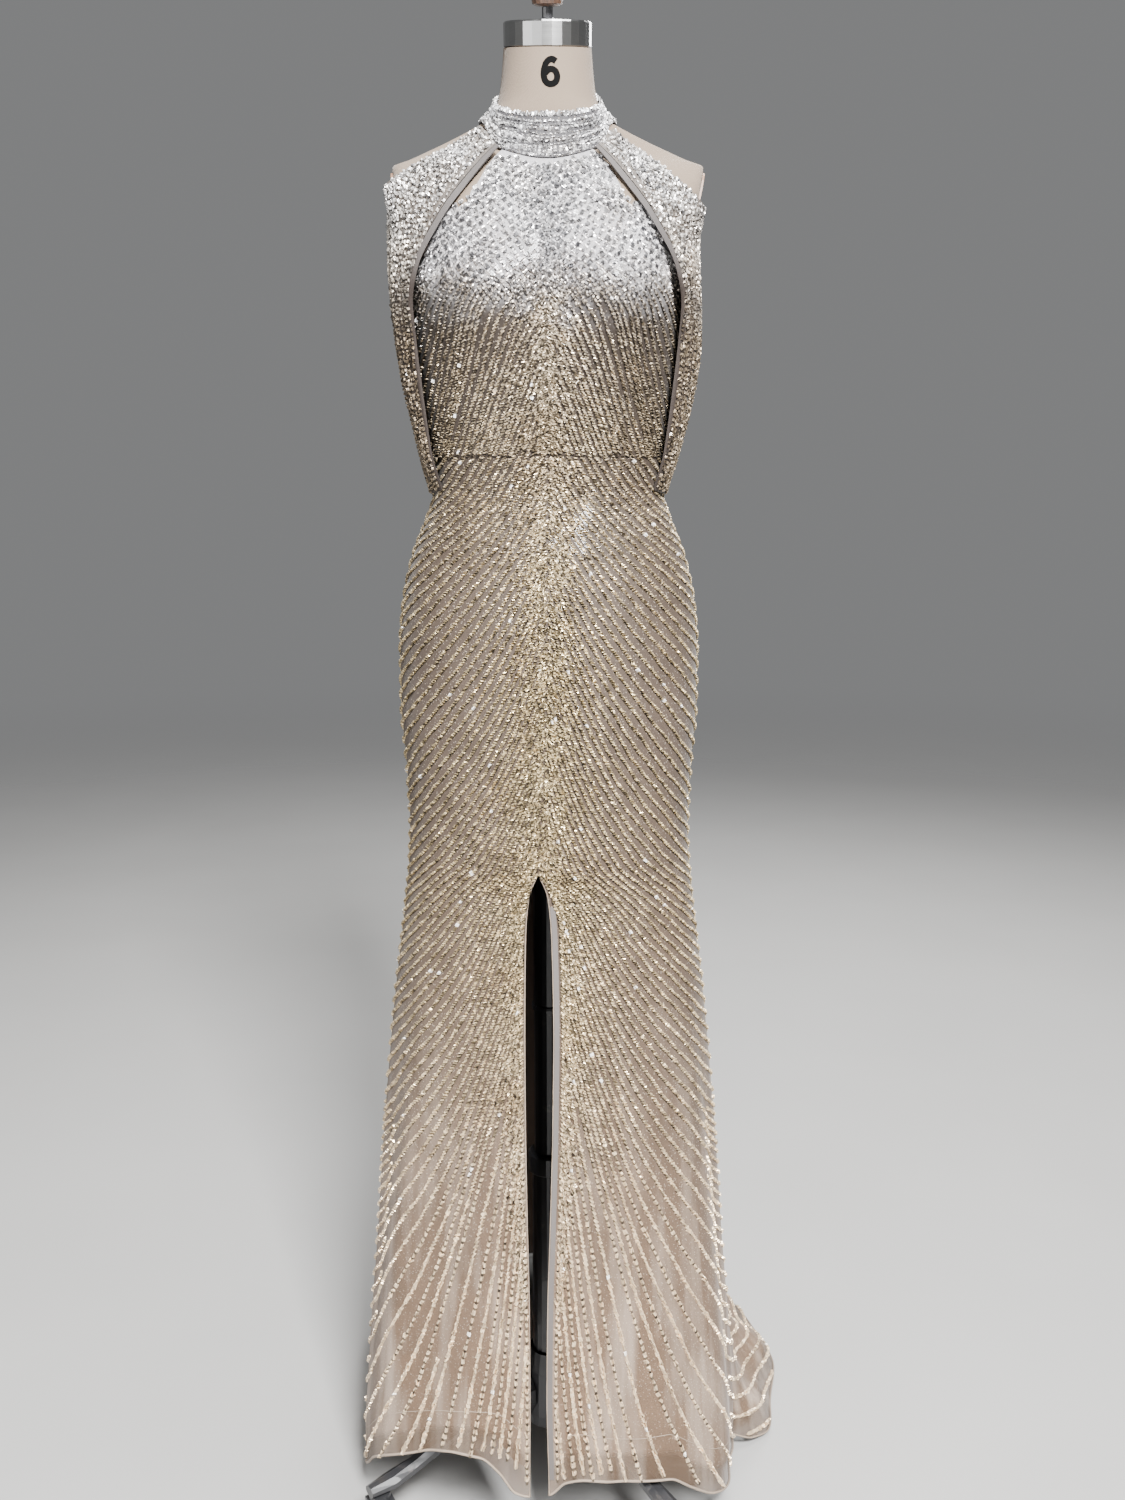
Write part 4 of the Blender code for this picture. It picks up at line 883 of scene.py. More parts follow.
# The grids of the skirt and its lining; behind, "bunch" draws their rows down to the floor
cutGrid = {"frontColumns": 56, "upperRows": 44, "lowerRows": 80, "backColumns": 84, "bunch": 1.45}
liningGrid = {"frontColumns": 30, "upperRows": 4, "lowerRows": 40, "backColumns": 90, "bunch": 1.4}


def addRise(made):
    # the height above the hem, for the cloth's finish
    spots = np.array([vertex.co[:] for vertex in made.data.vertices]) - poleFoot
    angle = np.degrees(np.arctan2(spots[:, 1], spots[:, 0]))
    return addPointValues(made, "rise", np.clip(spots[:, 2] - hemHeight(angle), 0, 1))


def seamAngle(angle, height, side):
    radius = np.linalg.norm(dress(angle, height)[..., :2], axis=-1)
    return angle + side * np.degrees(0.5 * gown["seam"] / radius)


def betweenSeams(angles, height):
    # a grid of angles, whose first and last columns keep clear of the seams
    angle = angles + 0 * height
    angle[:, 0] = seamAngle(angle[:, 0], height[:, 0], 1)
    angle[:, -1] = seamAngle(angle[:, -1], height[:, -1], -1)
    return angle


def skirtHeights(angle, top, upper, lower, lift=0.0):
    hem = hemHeight(wrap(angle))[None, :] + lift
    above = top + (gown["slitTop"] - top) * upper[:, None] + 0 * hem
    return np.concatenate([above, gown["slitTop"] + (hem - gown["slitTop"]) * lower[:, None]])


def frontHalf(side, surface, columns, top, upper, lower, lift):
    share = np.linspace(0, 1, columns)
    seam = -180 if side < 0 else 0
    height = skirtHeights(seam + (-90 - seam) * share, top, upper, lower, lift)
    middle = height[:, -1]
    radius = np.linalg.norm(surface(-90 + 0 * middle, middle)[:, :2], axis=-1)
    centre = -90 + np.degrees(np.arcsin(slitEdge(side, middle) / radius))
    start = seamAngle(seam + 0 * middle, height[:, 0], -side)
    return start[:, None] + (centre - start)[:, None] * share, height


def makeFront(name, material, surface, top, upper, lower, thick, lift, columns):
    # one cloth over both halves, joined above the slit
    points, faces, count = [], [], 0
    for side in (-1, 1):
        angle, height = frontHalf(side, surface, columns, top, upper, lower, lift)
        base, away = surface(angle, height), normalsOf(surface, angle, height)
        rows, size, flip = len(angle), angle.size, side < 0
        faces += [gridQuads(rows, columns, count, False, not flip),
                  gridQuads(rows, columns, count + size, False, flip)]
        last = (rows - 1) * columns
        edge, up = np.arange(columns - 1), np.arange(rows - 1) * columns
        slit = np.arange(len(upper) - 1, rows - 1) * columns + columns - 1
        for a, b in ((edge, edge + 1), (last + edge, last + edge + 1), (up, up + columns),
                     (slit, slit + columns)):
            faces.append(count + np.stack([a, b, b + size, a + size], axis=-1))
        points += [base, base + away * thick]
        count += 2 * size
    made = makeObject(name, np.stack(points), np.concatenate(faces), material, True)
    smooth(made)
    return made


def gridShares(grid):
    # down the skirt above the slit's top and below it
    return np.linspace(0, 1, grid["upperRows"]), np.linspace(0, 1, grid["lowerRows"])[1:]


def makeBack(name, material, surface, angles, top, grid, thick, lift=0.0):
    upper, lower = gridShares(grid)
    height = skirtHeights(angles, top, upper, 1 - (1 - lower) ** grid["bunch"], lift)
    return clothShell(name, surface, betweenSeams(angles, height), height, material, thick)


def makeSkirt():
    top, thick = gown["waist"], gown["thick"]
    front = makeFront("skirtFront", skirtNet, dress, top, *gridShares(cutGrid), thick, 0.0,
                      cutGrid["frontColumns"])
    placed(addRise(front), "warm_beads", "skirt_front")
    quarter = np.linspace(0, 90, cutGrid["backColumns"])
    for name, node, angles in (("skirtBackRight", "skirt_back_right", quarter),
                               ("skirtBackLeft", "skirt_back_left", 180 - quarter[::-1])):
        panel = makeBack(name, skirtNet, dress, angles, top, cutGrid, thick)
        placed(addRise(panel), "warm_beads", node)


def makeLining():
    top, short, thick = (skirtLining[key] for key in ("top", "short", "thick"))
    front = makeFront("liningFront", liningCloth, lining, top, *gridShares(liningGrid), thick,
                      short, liningGrid["frontColumns"])
    placed(front, "tulle", "lining_front")
    back = makeBack("liningBack", liningCloth, lining,
                    np.linspace(0, 180, liningGrid["backColumns"]), top, liningGrid, thick, short)
    placed(back, "tulle", "lining_back")


def makeBodice():
    rows, low = np.linspace(0, 1, 48)[:, None], gown["waist"] + gown["seam"]
    half = np.concatenate([np.linspace(0, 37.0, 26), np.linspace(37.5, 43, 18),
                           np.linspace(44, 90, 30)])  # closer where the halter turns
    panels = (("bodiceFront", "bodice_front", np.concatenate([-90 - half[:0:-1], -90 + half])),
              ("bodiceBackRight", "bodice_back_right", 90 - half[::-1]),
              ("bodiceBackLeft", "bodice_back_left", 90 + half))
    for name, node, angles in panels:
        height = low + (bodiceTop(angles) - low) * rows
        placed(clothShell(name, dress, betweenSeams(angles, height), height, bodiceNet,
                          gown["thick"]), "cool_beads", node)


def makeCollar():
    angle, up = np.meshgrid(np.linspace(90.4, 449.6, 181), np.linspace(0, 1, 16))
    placed(clothShell("collarCloth", collar, angle, up, collarNet, collarBand["thick"],
                      small=collarBand["small"]), "cool_beads", "collar")


def drapeTables(side):
    # the drape's surface, and at each step down the places across by distance from its front edge
    def surface(across, down):
        return drape(side, across, down)
    down, fine = np.linspace(0, 1, drapeCut["down"]), np.linspace(0, 1, 401)
    line = surface(fine, down[:, None])
    length = np.zeros(line.shape[:2])
    length[:, 1:] = np.cumsum(np.linalg.norm(np.diff(line, axis=1), axis=-1), axis=1)
    return surface, down, fine, length


def makeDrapes():
    wide = drapeCut["binding"]
    past = wide + 2 * gown["seam"]
    for side, word in ((-1, "Left"), (1, "Right")):
        surface, down, fine, length = drapeTables(side)
        total = length[:, -1]
        strips = (
            ("drape", "drape_", past, total - past, drapeCut["across"], drapeNet, "cool_beads"),
            ("bindingFront", "binding_front_", 0, wide, 7, bindingCloth, "binding"),
            ("bindingBack", "binding_back_", total - wide, total, 7, bindingCloth, "binding"))
        for name, node, start, end, count, material, slot in strips:
            start, end = (np.array([[np.interp(far, row, fine)] for far, row in zip(
                place + 0 * total, length)]) for place in (start, end))
            across = start + (end - start) * np.linspace(0, 1, count)
            made = clothShell(name + word, surface, across, down[:, None] + 0 * across, material,
                              drapeCut["thick"], -side, drapeCut["small"])
            placed(made, slot, node + word.lower())


makeSkirt()
makeLining()
makeBodice()
makeCollar()
makeDrapes()
print("cloth: done")

# The rolled hem, the slit's edge, the band sewn above the hem and the slit's turned-in facing
edges = {"hemRadius": 0.0015, "backRadius": 0.0012, "slitRadius": 0.0007, "hemLower": 0.0002,
         "bandRadius": 0.0004, "bandAbove": 0.052, "bandWave": 0.003, "sides": 6,
         "facingIn": (0.0006, 0.0058), "facingTall": (0.735, 0.108), "facingOff": (0.0001, 0.0006)}


def cord(name, angle, height, off, radius, lower=0.0):
    # a thin round cord along the gown, off its inner side
    away = normalsOf(dress, angle, height)
    path = dress(angle, height) + away * off - [0, 0, lower]
    across = unit(np.cross(unit(np.gradient(path, axis=0)), away))
    turn = 2 * np.pi * np.arange(edges["sides"])[:, None] / edges["sides"]
    ring = np.cos(turn) * away[:, None] + np.sin(turn) * across[:, None]
    points = path[:, None] + ring * np.reshape(radius + 0 * angle, (-1, 1, 1))
    made = makeObject(name, points, tubeFaces(len(path), edges["sides"], True), hemCloth)
    smooth(made, 60)
    placed(made, "tulle")


def makeEdges():
    upper, lower = np.linspace(0, 1, 4), np.linspace(0, 1, 130)[1:]
    thick, columns = gown["thick"], 150
    for side, word, start, end in ((-1, "Left", -98, -172), (1, "Right", -82, -9)):
        # along the hem to the slit, then up its edge
        halves = frontHalf(side, dress, columns, gown["waist"], upper, lower, 0.0)
        angle, height = (np.concatenate([grid[-1], grid[-2:2:-1, -1]]) for grid in halves)
        radius = np.where(np.arange(len(angle)) < columns, edges["hemRadius"], edges["slitRadius"])
        cord("hemEdge" + word, angle, height, thick / 2, radius, edges["hemLower"])
        angle = np.linspace(start, end, 120)
        rise = edges["bandAbove"] + edges["bandWave"] * np.sin(np.radians(angle) * 7)
        cord("hemBand" + word, angle, hemHeight(angle) + rise, thick, edges["bandRadius"])
    angle = np.linspace(0.4, 179.6, 420)
    cord("hemEdgeBack", angle, hemHeight(angle), thick / 2, edges["backRadius"])


def makeFacing():
    # the plain strip along the slit's right edge
    height = np.linspace(*edges["facingTall"], 160)[:, None]
    out = slitEdge(1, height) + np.linspace(*edges["facingIn"], 5)
    angle = -90 + np.degrees(np.arcsin(out / figureRadius(-90.0, height)))
    inside, outside = (gown["thick"] + off for off in edges["facingOff"])
    placed(clothShell("slitFacing", dress, angle, height + 0 * angle, facingCloth, outside,
                      inside=inside), "tulle")


numeral = {"path": ((0.80, 0.90), (0.62, 0.985), (0.42, 0.955), (0.25, 0.82), (0.155, 0.60),
                    (0.135, 0.36), (0.22, 0.15), (0.42, 0.035), (0.66, 0.055), (0.84, 0.18),
                    (0.88, 0.36), (0.80, 0.53), (0.60, 0.62), (0.38, 0.585), (0.20, 0.44)),
           "stroke": 0.0060, "low": 1.5430, "tall": 0.0250, "left": -0.0058, "wide": 0.0180,
           "steps": 90, "off": (0.0001, 0.0004)}


def makeNumeral():
    # the size printed on the neck, as a flat stroke that follows it
    path, steps = np.array(numeral["path"]), numeral["steps"]
    fine = np.linspace(0, len(path) - 1, steps)
    path = np.stack([np.interp(fine, np.arange(len(path)), path[:, i]) for i in (0, 1)], 1)
    for _ in range(6):
        path[1:-1] = (path[:-2] + 2 * path[1:-1] + path[2:]) / 4
    path = path * [numeral["wide"], numeral["tall"]] + [numeral["left"], numeral["low"]]
    along = unit(np.gradient(path, axis=0))
    across = np.stack([-along[:, 1], along[:, 0]], 1) * numeral["stroke"] / 2
    flat = np.stack([path + across * part for part in (1, 1 / 3, -1 / 3, -1)], 1)
    height = flat[..., 1].copy()
    for _ in range(12):
        angle = -90 + np.degrees(np.arcsin(flat[..., 0] / figureRadius(-90.0, height)))
        height = height + flat[..., 1] - formPoint(angle, height)[..., 2]
    base, away = formPoint(angle, height), normalsOf(formPoint, angle, height)
    count, row = angle.size, np.arange(steps - 1) * 4
    faces = [gridQuads(steps, 4), gridQuads(steps, 4, count, False, True)]
    for a, b in ((row, row + 4), (row + 7, row + 3)):
        faces.append(np.stack([a, b, b + count, a + count], axis=-1))
    made = makeObject("sizeNumeral", np.stack([base + away * off for off in numeral["off"]]),
                      np.concatenate(faces), inkFinish, True)
    smooth(made)
    placed(made, "canvas")


makeEdges()
makeFacing()
makeNumeral()
print("edges and numeral: done")

# A row falls outward by "slope", and by "steep" more at the centre, which fades over "fade" metres.
# "start" is how far apart the rows leave the centre or the slit, "apart" how far apart they lie
rowColumns = ("height", "start", "apart", "slope", "steep", "fade")
skirtRows = (
    (-0.30, 0.1500, 0.0260, 0.70, 12.6, 0.062), (0.10, 0.1200, 0.0250, 0.70, 12.6, 0.062),
    (0.20, 0.0900, 0.0200, 0.70, 12.6, 0.062), (0.30, 0.0500, 0.0150, 0.72, 11.0, 0.058),
    (0.38, 0.0260, 0.0122, 0.74, 8.5, 0.052), (0.45, 0.0170, 0.0110, 0.76, 6.5, 0.050),
    (0.60, 0.0135, 0.0090, 0.78, 3.9, 0.048), (0.75, 0.0128, 0.0086, 0.82, 2.8, 0.050),
    (0.90, 0.0126, 0.0084, 0.88, 2.4, 0.050), (1.05, 0.0124, 0.0082, 0.95, 2.0, 0.048),
    (1.16, 0.0118, 0.0078, 1.06, 1.4, 0.045), (1.60, 0.0114, 0.0078, 1.00, 1.2, 0.045),
)
bodiceRows = (
    (1.00, 0.0150, 0.0058, 2.30, 0.4, 0.020), (1.25, 0.0140, 0.0058, 2.10, 0.4, 0.020),
    (1.31, 0.0112, 0.0058, 1.75, 0.3, 0.020), (1.345, 0.0088, 0.0058, 1.20, 0.2, 0.020),
    (1.375, 0.0080, 0.0060, 0.85, 0.2, 0.020), (1.42, 0.0080, 0.0062, 0.75, 0.3, 0.016),
    (1.60, 0.0080, 0.0062, 0.70, 0.3, 0.016),
)

# Beads by height: the bars of a solid row and the beads of a dotted one; "slant" is in degrees
# across the row, as on a rope, and "dark" is how long the spot of painted shade after each is
beadColumns = ("height", "long", "wide", "pitch", "slant", "dark", "high")
ropeTable = (
    (0.58, 0.0044, 0.0023, 0.0032, 46, 0.0, 0.0025),
    (1.00, 0.0042, 0.0021, 0.0029, 48, 0.0, 0.0026),
    (1.19, 0.0048, 0.0022, 0.0029, 45, 0.0, 0.0024),
    (1.31, 0.0046, 0.0025, 0.0033, 30, 0.0, 0.0022),
    (1.340, 0.0044, 0.0034, 0.0050, 14, 0.0016, 0.0020),
    (1.362, 0.0066, 0.0048, 0.0078, 0, 0.0034, 0.0018),
    (1.50, 0.0068, 0.0050, 0.0082, 0, 0.0036, 0.0018),
)
solidTable = (
    (0.00, 0.0062, 0.0045, 0.0060, 0, 0.0, 0.0023),
    (0.25, 0.0060, 0.0043, 0.0058, 0, 0.0, 0.0023),
    (0.40, 0.0056, 0.0036, 0.0046, 20, 0.0, 0.0024),
) + ropeTable
dottedTable = (
    (0.00, 0.0056, 0.0044, 0.0088, 0, 0.0030, 0.0024),
    (0.30, 0.0052, 0.0042, 0.0080, 0, 0.0027, 0.0024),
    (0.42, 0.0048, 0.0040, 0.0070, 8, 0.0022, 0.0024),
    (0.52, 0.0048, 0.0030, 0.0044, 35, 0.0008, 0.0025),
) + ropeTable
beadSize = [{name: tableCurve(table, beadColumns, name) for name in beadColumns[1:]}
            for table in (solidTable, dottedTable)]
sewing = {
    # the rows: the eye's height and distance, and the least fall on the bodice and the skirt
    "eye": (1.15, 1.45), "leastSlope": (0.30, 0.38), "backSlope": 0.72, "steps": 261,
    "besideSlit": (0.0030, 0.0095), "pinch": 0.52, "pinchOver": 0.030,
    # a row comes in at this share of its room, goes out at that one, and is never a short run
    "comesIn": 0.64, "goesOut": 0.36, "leastRun": 9, "spare": 1.45, "spareAbove": 9.0,
    "spareFrom": (0.46, 0.52), "turnsAbove": 0.09, "turnsBefore": 150,
    # the beads: how much they vary and lean, where they are slimmer, and where painted shade
    # darkens them at the bodice's sides
    "askew": 0.17, "wander": 0.0007, "jitter": 0.07, "crystals": 0.004, "fullRoom": 0.0052,
    "leastThin": 0.62, "slimAside": 0.24, "slimOut": (0.04, 0.13), "slimUp": (0.5, 0.7),
    "asideShade": 0.46, "asideOut": (0.060, 0.100), "asideUp": (1.39, 1.34),
    "varyAt": (0.3, 0.5, 1.3, 1.4), "vary": (0.42, 0.78, 0.85, 0.42), "double": 0.0047,
    # where the spots of painted shade move from after each bead to under the row, and their height
    # and width
    "spotUp": (1.325, 1.355), "spotHigh": (0.0013, 0.0022), "spotWide": (0.0023, 0.0036),
    "clear": {"hem": 0.0045, "under": 0.0005, "above": 0.0008, "top": 0.0030},
    "stone": (0.0038, 0.0038, 0.0030), "stitch": (0.0036, 0.0013, 0.0020), "stitchPitch": 0.0062,
    "slitRow": (0.752, 0.105),
    # the loose beads over the middle
    "scatter": 2600, "scatterUp": (0.30, 1.36), "scatterWide": (0.014, 0.009),
    "scatterLong": (0.0022, 0.0036), "scatterAcross": (0.0015, 0.0024),
}


def fallTables():
    # the height at each angle by distance down the cloth, so that rows keep apart on the sweep
    angles = np.linspace(-180, 180, 361)[:, None]
    heights = np.concatenate([np.linspace(gown["waist"], 0.12, 260), np.linspace(0.118, 0.0, 120)])
    radius = figureRadius(angles, heights) + hemReach(angles) * sweepShare(heights)
    slant = np.zeros(radius.shape)
    slant[:, 1:] = np.cumsum(np.hypot(np.diff(radius, axis=1), np.diff(heights)), axis=1)
    levels = np.linspace(gown["waist"], -0.32, 500)
    return levels, np.array([np.interp(gown["waist"] - levels, row, heights) for row in slant])


fallLevels, fallHeights = fallTables()


def heightAt(angle, level):
    # bilinear look-up; above the waist the level is the height
    a = (wrap(angle) + 180) % 360
    b = (fallLevels[0] - level) / (fallLevels[0] - fallLevels[-1]) * (len(fallLevels) - 1)
    b = np.clip(b, 0, len(fallLevels) - 1.001)
    i, j = np.clip(a.astype(int), 0, 359), b.astype(int)
    s, t = a - i, b - j
    height = ((fallHeights[i, j] * (1 - s) + fallHeights[i + 1, j] * s) * (1 - t)
              + (fallHeights[i, j + 1] * (1 - s) + fallHeights[i + 1, j + 1] * s) * t)
    return np.where(level > gown["waist"], level, height)


def rowAngle(side, share, height):
    # share 0 is the centre front or beside the slit, 1 the side seam, 2 the centre back
    beside = sewing["besideSlit"][int(side > 0)] * ramp(height, gown["slitTop"],
                                                        gown["slitTop"] - 0.05)
    out = slitEdge(side, height) + side * beside
    centre = -90 + np.degrees(np.arcsin(out / figureRadius(-90.0, height)))
    seam = -180 if side < 0 else 0
    return np.where(share <= 1, centre + (seam - centre) * share, seam + side * 90 * (share - 1))


def onGown(side, share, level, skirt):
    # angle and height of a place on a row
    if skirt:
        seam = -180 if side < 0 else 0
        height = heightAt(seam + side * 90 * (share - 1), level)
    height = np.clip(height, 0.0, gown["waist"]) if skirt else np.clip(level, 0.0, 1.485)
    return rowAngle(side, share, height), height


def traceRows(side, look, starts, skirt):
    # every row from the centre to the centre back, one step at a time
    shares = 2 * np.linspace(0, 1, sewing["steps"]) ** 1.35
    level, out = np.array(starts, float), np.zeros(len(starts))
    lines, outs, slopes = [level], [out], []
    for share, following in zip(shares[:-1], shares[1:]):
        angle, height = onGown(side, share, level, skirt)
        radius = figureRadius(angle, height)
        p, angle = at(angle, radius, height), rowAngle(side, following, height)
        q = at(angle, figureRadius(angle, height), height)
        across, seen = np.linalg.norm(q - p, axis=1), np.abs(q[:, 0] - p[:, 0])
        down = (sewing["eye"][0] - height) / (sewing["eye"][1] + p[:, 1])
        slope = look["slope"](level) + look["steep"](level) * np.exp(-out / look["fade"](level))
        drop = slope * seen + np.maximum(q[:, 1] - p[:, 1], 0) * np.maximum(down, 0)
        drop = np.maximum(drop, sewing["leastSlope"][int(skirt)] * across)
        drop = drop if share < 1 else sewing["backSlope"] * across
        level, out = level - drop, out + seen
        lines.append(level)
        outs.append(out)
        slopes.append(drop / np.maximum(across, 1e-9))
    slopes.append(slopes[-1])
    return shares, np.array(lines).T, np.array(outs).T, np.array(slopes).T


def runsOnly(shown, least):
    # drops the short runs of a row
    edges = np.flatnonzero(np.diff(np.concatenate([[0], shown.astype(int), [0]])))
    for first, last in zip(edges[::2], edges[1::2]):
        if last - first < least:
            shown[first:last] = False
    return shown


def staysShown(share):
    # a row comes in where there is room for it, and then runs on unless it is nearly touched
    shown, on = np.zeros(len(share), bool), False
    for i, room in enumerate(share):
        on = room > sewing["goesOut" if on else "comesIn"]
        shown[i] = on
    return runsOnly(shown, sewing["leastRun"])


def spreadRows(lines, outs, slopes, look, insertAbove):
    # hides what would crowd, and starts new rows midway where two have spread;
    # solid rows, 0, and dotted ones, 1, take turns
    made, last, lastKind = [], None, np.zeros(lines.shape[1])
    for line, out, slope in zip(lines, outs, slopes):
        apart = look["apart"](line) * (1 - sewing["pinch"] * np.exp(-out / sewing["pinchOver"]))
        if last is None:
            shown, last, room = np.ones(len(line), bool), line.copy(), apart
        else:
            gap = (last - line) / np.sqrt(1 + slope ** 2)
            shown = staysShown(gap / apart)
            spare = sewing["spare"] + insertAbove * ramp(line, *sewing["spareFrom"])
            wide = runsOnly((gap > spare * apart) & shown, sewing["leastRun"])
            room = np.where(shown, gap, room)
            if wide.any():
                kind = int(lastKind[wide].mean() < 0.5)
                made.append(((last + line) / 2, wide, out, kind, room / 2))
                lastKind[wide] = kind
            last = np.where(shown, line, last)
        near = np.arange(len(line)) < sewing["turnsBefore"]
        seen = shown & near & (line > sewing["turnsAbove"])
        low = np.flatnonzero(seen)[-50:]
        kind = int(lastKind[low].mean() < 0.5) if len(low) else 0
        lastKind[shown] = kind
        made.append((line, shown, out, kind, room))
    return made


def startsOf(look, low, high):
    starts, height = [], high
    while height > low:
        starts.append(height)
        height -= float(look["start"](height))
    return starts


def picked(pick, *values):
    return (value[pick] for value in values)


def addRow(trays, crystals, points, away, height, keep, kind, dice, room):
    # the beads of one row, in front and behind; its stones go on the crystals' tray
    size = {name: value(height) for name, value in beadSize[kind].items()}
    thin = np.clip(room / sewing["fullRoom"], sewing["leastThin"], 1)
    got = alongLine(points, away, size["pitch"] * (0.4 + 0.6 * thin), dice.uniform(-0.5, 0.5),
                    keep, sewing["jitter"], dice)
    if got is None or not len(got[0]):
        return
    centre, along, normal, where, length = got
    count = len(centre)
    long, wide, pitch, slant, dark, high, thin, room = (
        np.interp(where, length, v) for v in (*size.values(), thin, room))
    aside, height = np.abs(centre[:, 0]), centre[:, 2]
    slim = ramp(aside, *sewing["slimOut"]) * ramp(height, *sewing["slimUp"])
    slim = 1 - sewing["slimAside"] * slim * (height < gown["waist"])
    wide = wide * thin * dice.uniform(0.80, 1.18, count)
    long = long * thin * slim * dice.uniform(0.80, 1.15, count)
    tone = dice.uniform(0, 1, count) ** 1.6
    tone = 1 - tone * np.interp(height, sewing["varyAt"], sewing["vary"])
    # painted shade: beads at the bodice's sides, below the drapes, are darkened
    sideShade = ramp(aside, *sewing["asideOut"]) * (height > gown["waist"])
    tone = tone * (1 - sewing["asideShade"] * sideShade * ramp(height, *sewing["asideUp"]))
    stone = dice.uniform(0, 1, count) < sewing["crystals"]
    straight = unit(along)
    side = np.cross(normal, straight)
    below = side * np.where(side[:, 2] > 0, -1, 1)[:, None]
    turn = np.radians(slant) * np.where(centre[:, 0] > 0, 1, -1)
    bar = straight * np.cos(turn)[:, None] + side * np.sin(turn)[:, None]
    # where each spot of painted shade goes: after the bead, or below the row on the upper bodice
    upper = ramp(height, *sewing["spotUp"])
    spot = (centre + straight * (pitch / 2 * (1 - upper))[:, None]
            + below * (room / 2 * upper)[:, None])
    spotWide, spotHigh = (np.interp(upper, [0, 1], sewing[key]) for key in ("spotWide", "spotHigh"))
    # shadow is the width of the painted shadow laid under a slanted rope
    shadow = long * np.abs(np.sin(turn)) + 0.0004
    double = wide > sewing["double"]  # broad bars are two slim ones side by side
    shadeSpotted = (dark > 0.0006) & (np.abs(normal[:, 0]) < 0.75)
    # under marks the beads that get that painted shadow
    under = (slant > 10) & (np.abs(normal[:, 0]) < 0.9)
    for here, tray in zip((centre[:, 1] <= 0, centre[:, 1] > 0), trays):
        layBeads(tray, *picked(here & ~stone & ~double, centre, bar, normal, long, wide, high,
                               tone), sewing["askew"])
        pick = here & ~stone & double
        number = int(pick.sum())
        for part in (-1, 1):
            middle = centre + part * side * (wide / 4)[:, None]
            layBeads(tray, *picked(pick, middle, bar, normal),
                     long[pick] * dice.uniform(0.9, 1.12, number), wide[pick] * 0.54, high[pick],
                     1 - dice.uniform(0, 1, number) ** 2 * 0.5, sewing["askew"])
        # dark quads of painted shade after the beads, or under the row
        pick = here & shadeSpotted
        number = int(pick.sum())
        spread = dice.uniform(0.75, 1.2, number)
        layShadeFlats(tray, *picked(pick, spot, along, normal), dark[pick] * spread,
                 spotWide[pick] * spread, spotHigh[pick], dice.uniform(0.0, 0.14, number))
        # flat dark quads of painted shadow along the lower side of the rope
        pick = here & under & (dice.uniform(0, 1, count) < 0.8)
        layShadeFlats(tray, *picked(pick, centre + below * 0.0006, along, normal, pitch * 0.95, shadow),
                 0.0005, dice.uniform(0.0, 0.10, int(pick.sum())))
    layBeads(crystals, *picked(stone, centre, along, normal), *sewing["stone"], 1.0, 0.2)


def beadRows(side, table, low, high, skirt, trays, crystals):
    dice = np.random.default_rng(17 + side + (5 if skirt else 0))
    look = {name: tableCurve(table, rowColumns, name) for name in rowColumns[1:]}
    shares, *traced = traceRows(side, look, startsOf(look, low, high), skirt)
    insertAbove = sewing["spareAbove"] if skirt else 0.0
    clear, waist = sewing["clear"], gown["waist"]
    for number, (line, shown, out, kind, room) in enumerate(spreadRows(*traced, look, insertAbove)):
        wander = np.sin(out * 140 + 5 * number) + 0.6 * np.sin(out * 310 + 3 * number)
        line = line + sewing["wander"] * wander
        angle, height = onGown(side, shares, line, skirt)
        if skirt:
            inside = line < waist - clear["under"]
            inside &= height > hemHeight(wrap(angle)) + clear["hem"]
        else:
            inside = (line < bodiceTop(angle) - clear["top"]) & (line > waist + clear["above"])
        inside &= shown
        if inside.sum() < 3:
            continue
        first, last = np.argmax(inside), len(inside) - np.argmax(inside[::-1])
        part = slice(max(first - 1, 0), min(last + 1, len(inside)))
        angle, height = angle[part], height[part]
        away = normalsOf(dress, angle, height)
        addRow(trays, crystals, dress(angle, height) + away * gown["thick"], away, height,
               inside[part], kind, dice, room[part])


def slitRow(side, tray, crystals):
    # one dotted row down the slit's edge
    height = np.linspace(*sewing["slitRow"], 300)
    angle = rowAngle(side, 0, height)
    height = np.maximum(height, hemHeight(angle) + 0.005)
    away = normalsOf(dress, angle, height)
    addRow((tray, tray), crystals, dress(angle, height) + away * gown["thick"], away, height,
           None, 1, np.random.default_rng(61 + side), 0.01 + 0 * height)


def scatterBeads(side, low, high):
    # loose beads sewn closely over the middle, where the rows meet, and beside the slit
    dice, count = np.random.default_rng(83 + side), sewing["scatter"]
    height = sewing["scatterUp"][0] + np.ptp(sewing["scatterUp"]) * dice.uniform(0, 1, count)
    wide, beside = sewing["scatterWide"]
    spread = np.where(height > gown["slitTop"], wide,
                      beside * np.clip((height - 0.25) / 0.2, 0.2, 1))
    out = np.abs(dice.normal(0, 1, count)) * spread + 0.001
    angle = rowAngle(side, 0, height)
    angle = angle + side * np.degrees(out / figureRadius(angle, height))
    away = normalsOf(dress, angle, height)
    points = dress(angle, height) + away * (gown["thick"] + 0.0006)
    lean = 0.45 * dice.normal(0, 1, count) + 0.35
    along = np.stack([side * np.sin(lean), 0 * lean, -np.cos(lean)], 1)
    above = height - gown["waist"]
    for tray, pick in ((low, above < -0.002), (high, above > 0.002)):
        number = int(pick.sum())
        layBeads(tray, *picked(pick, points, along, away),
                 dice.uniform(*sewing["scatterLong"], number),
                 dice.uniform(*sewing["scatterAcross"], number), 0.0020,
                 0.85 * (1 - dice.uniform(0, 1, number) ** 1.2), 0.35)


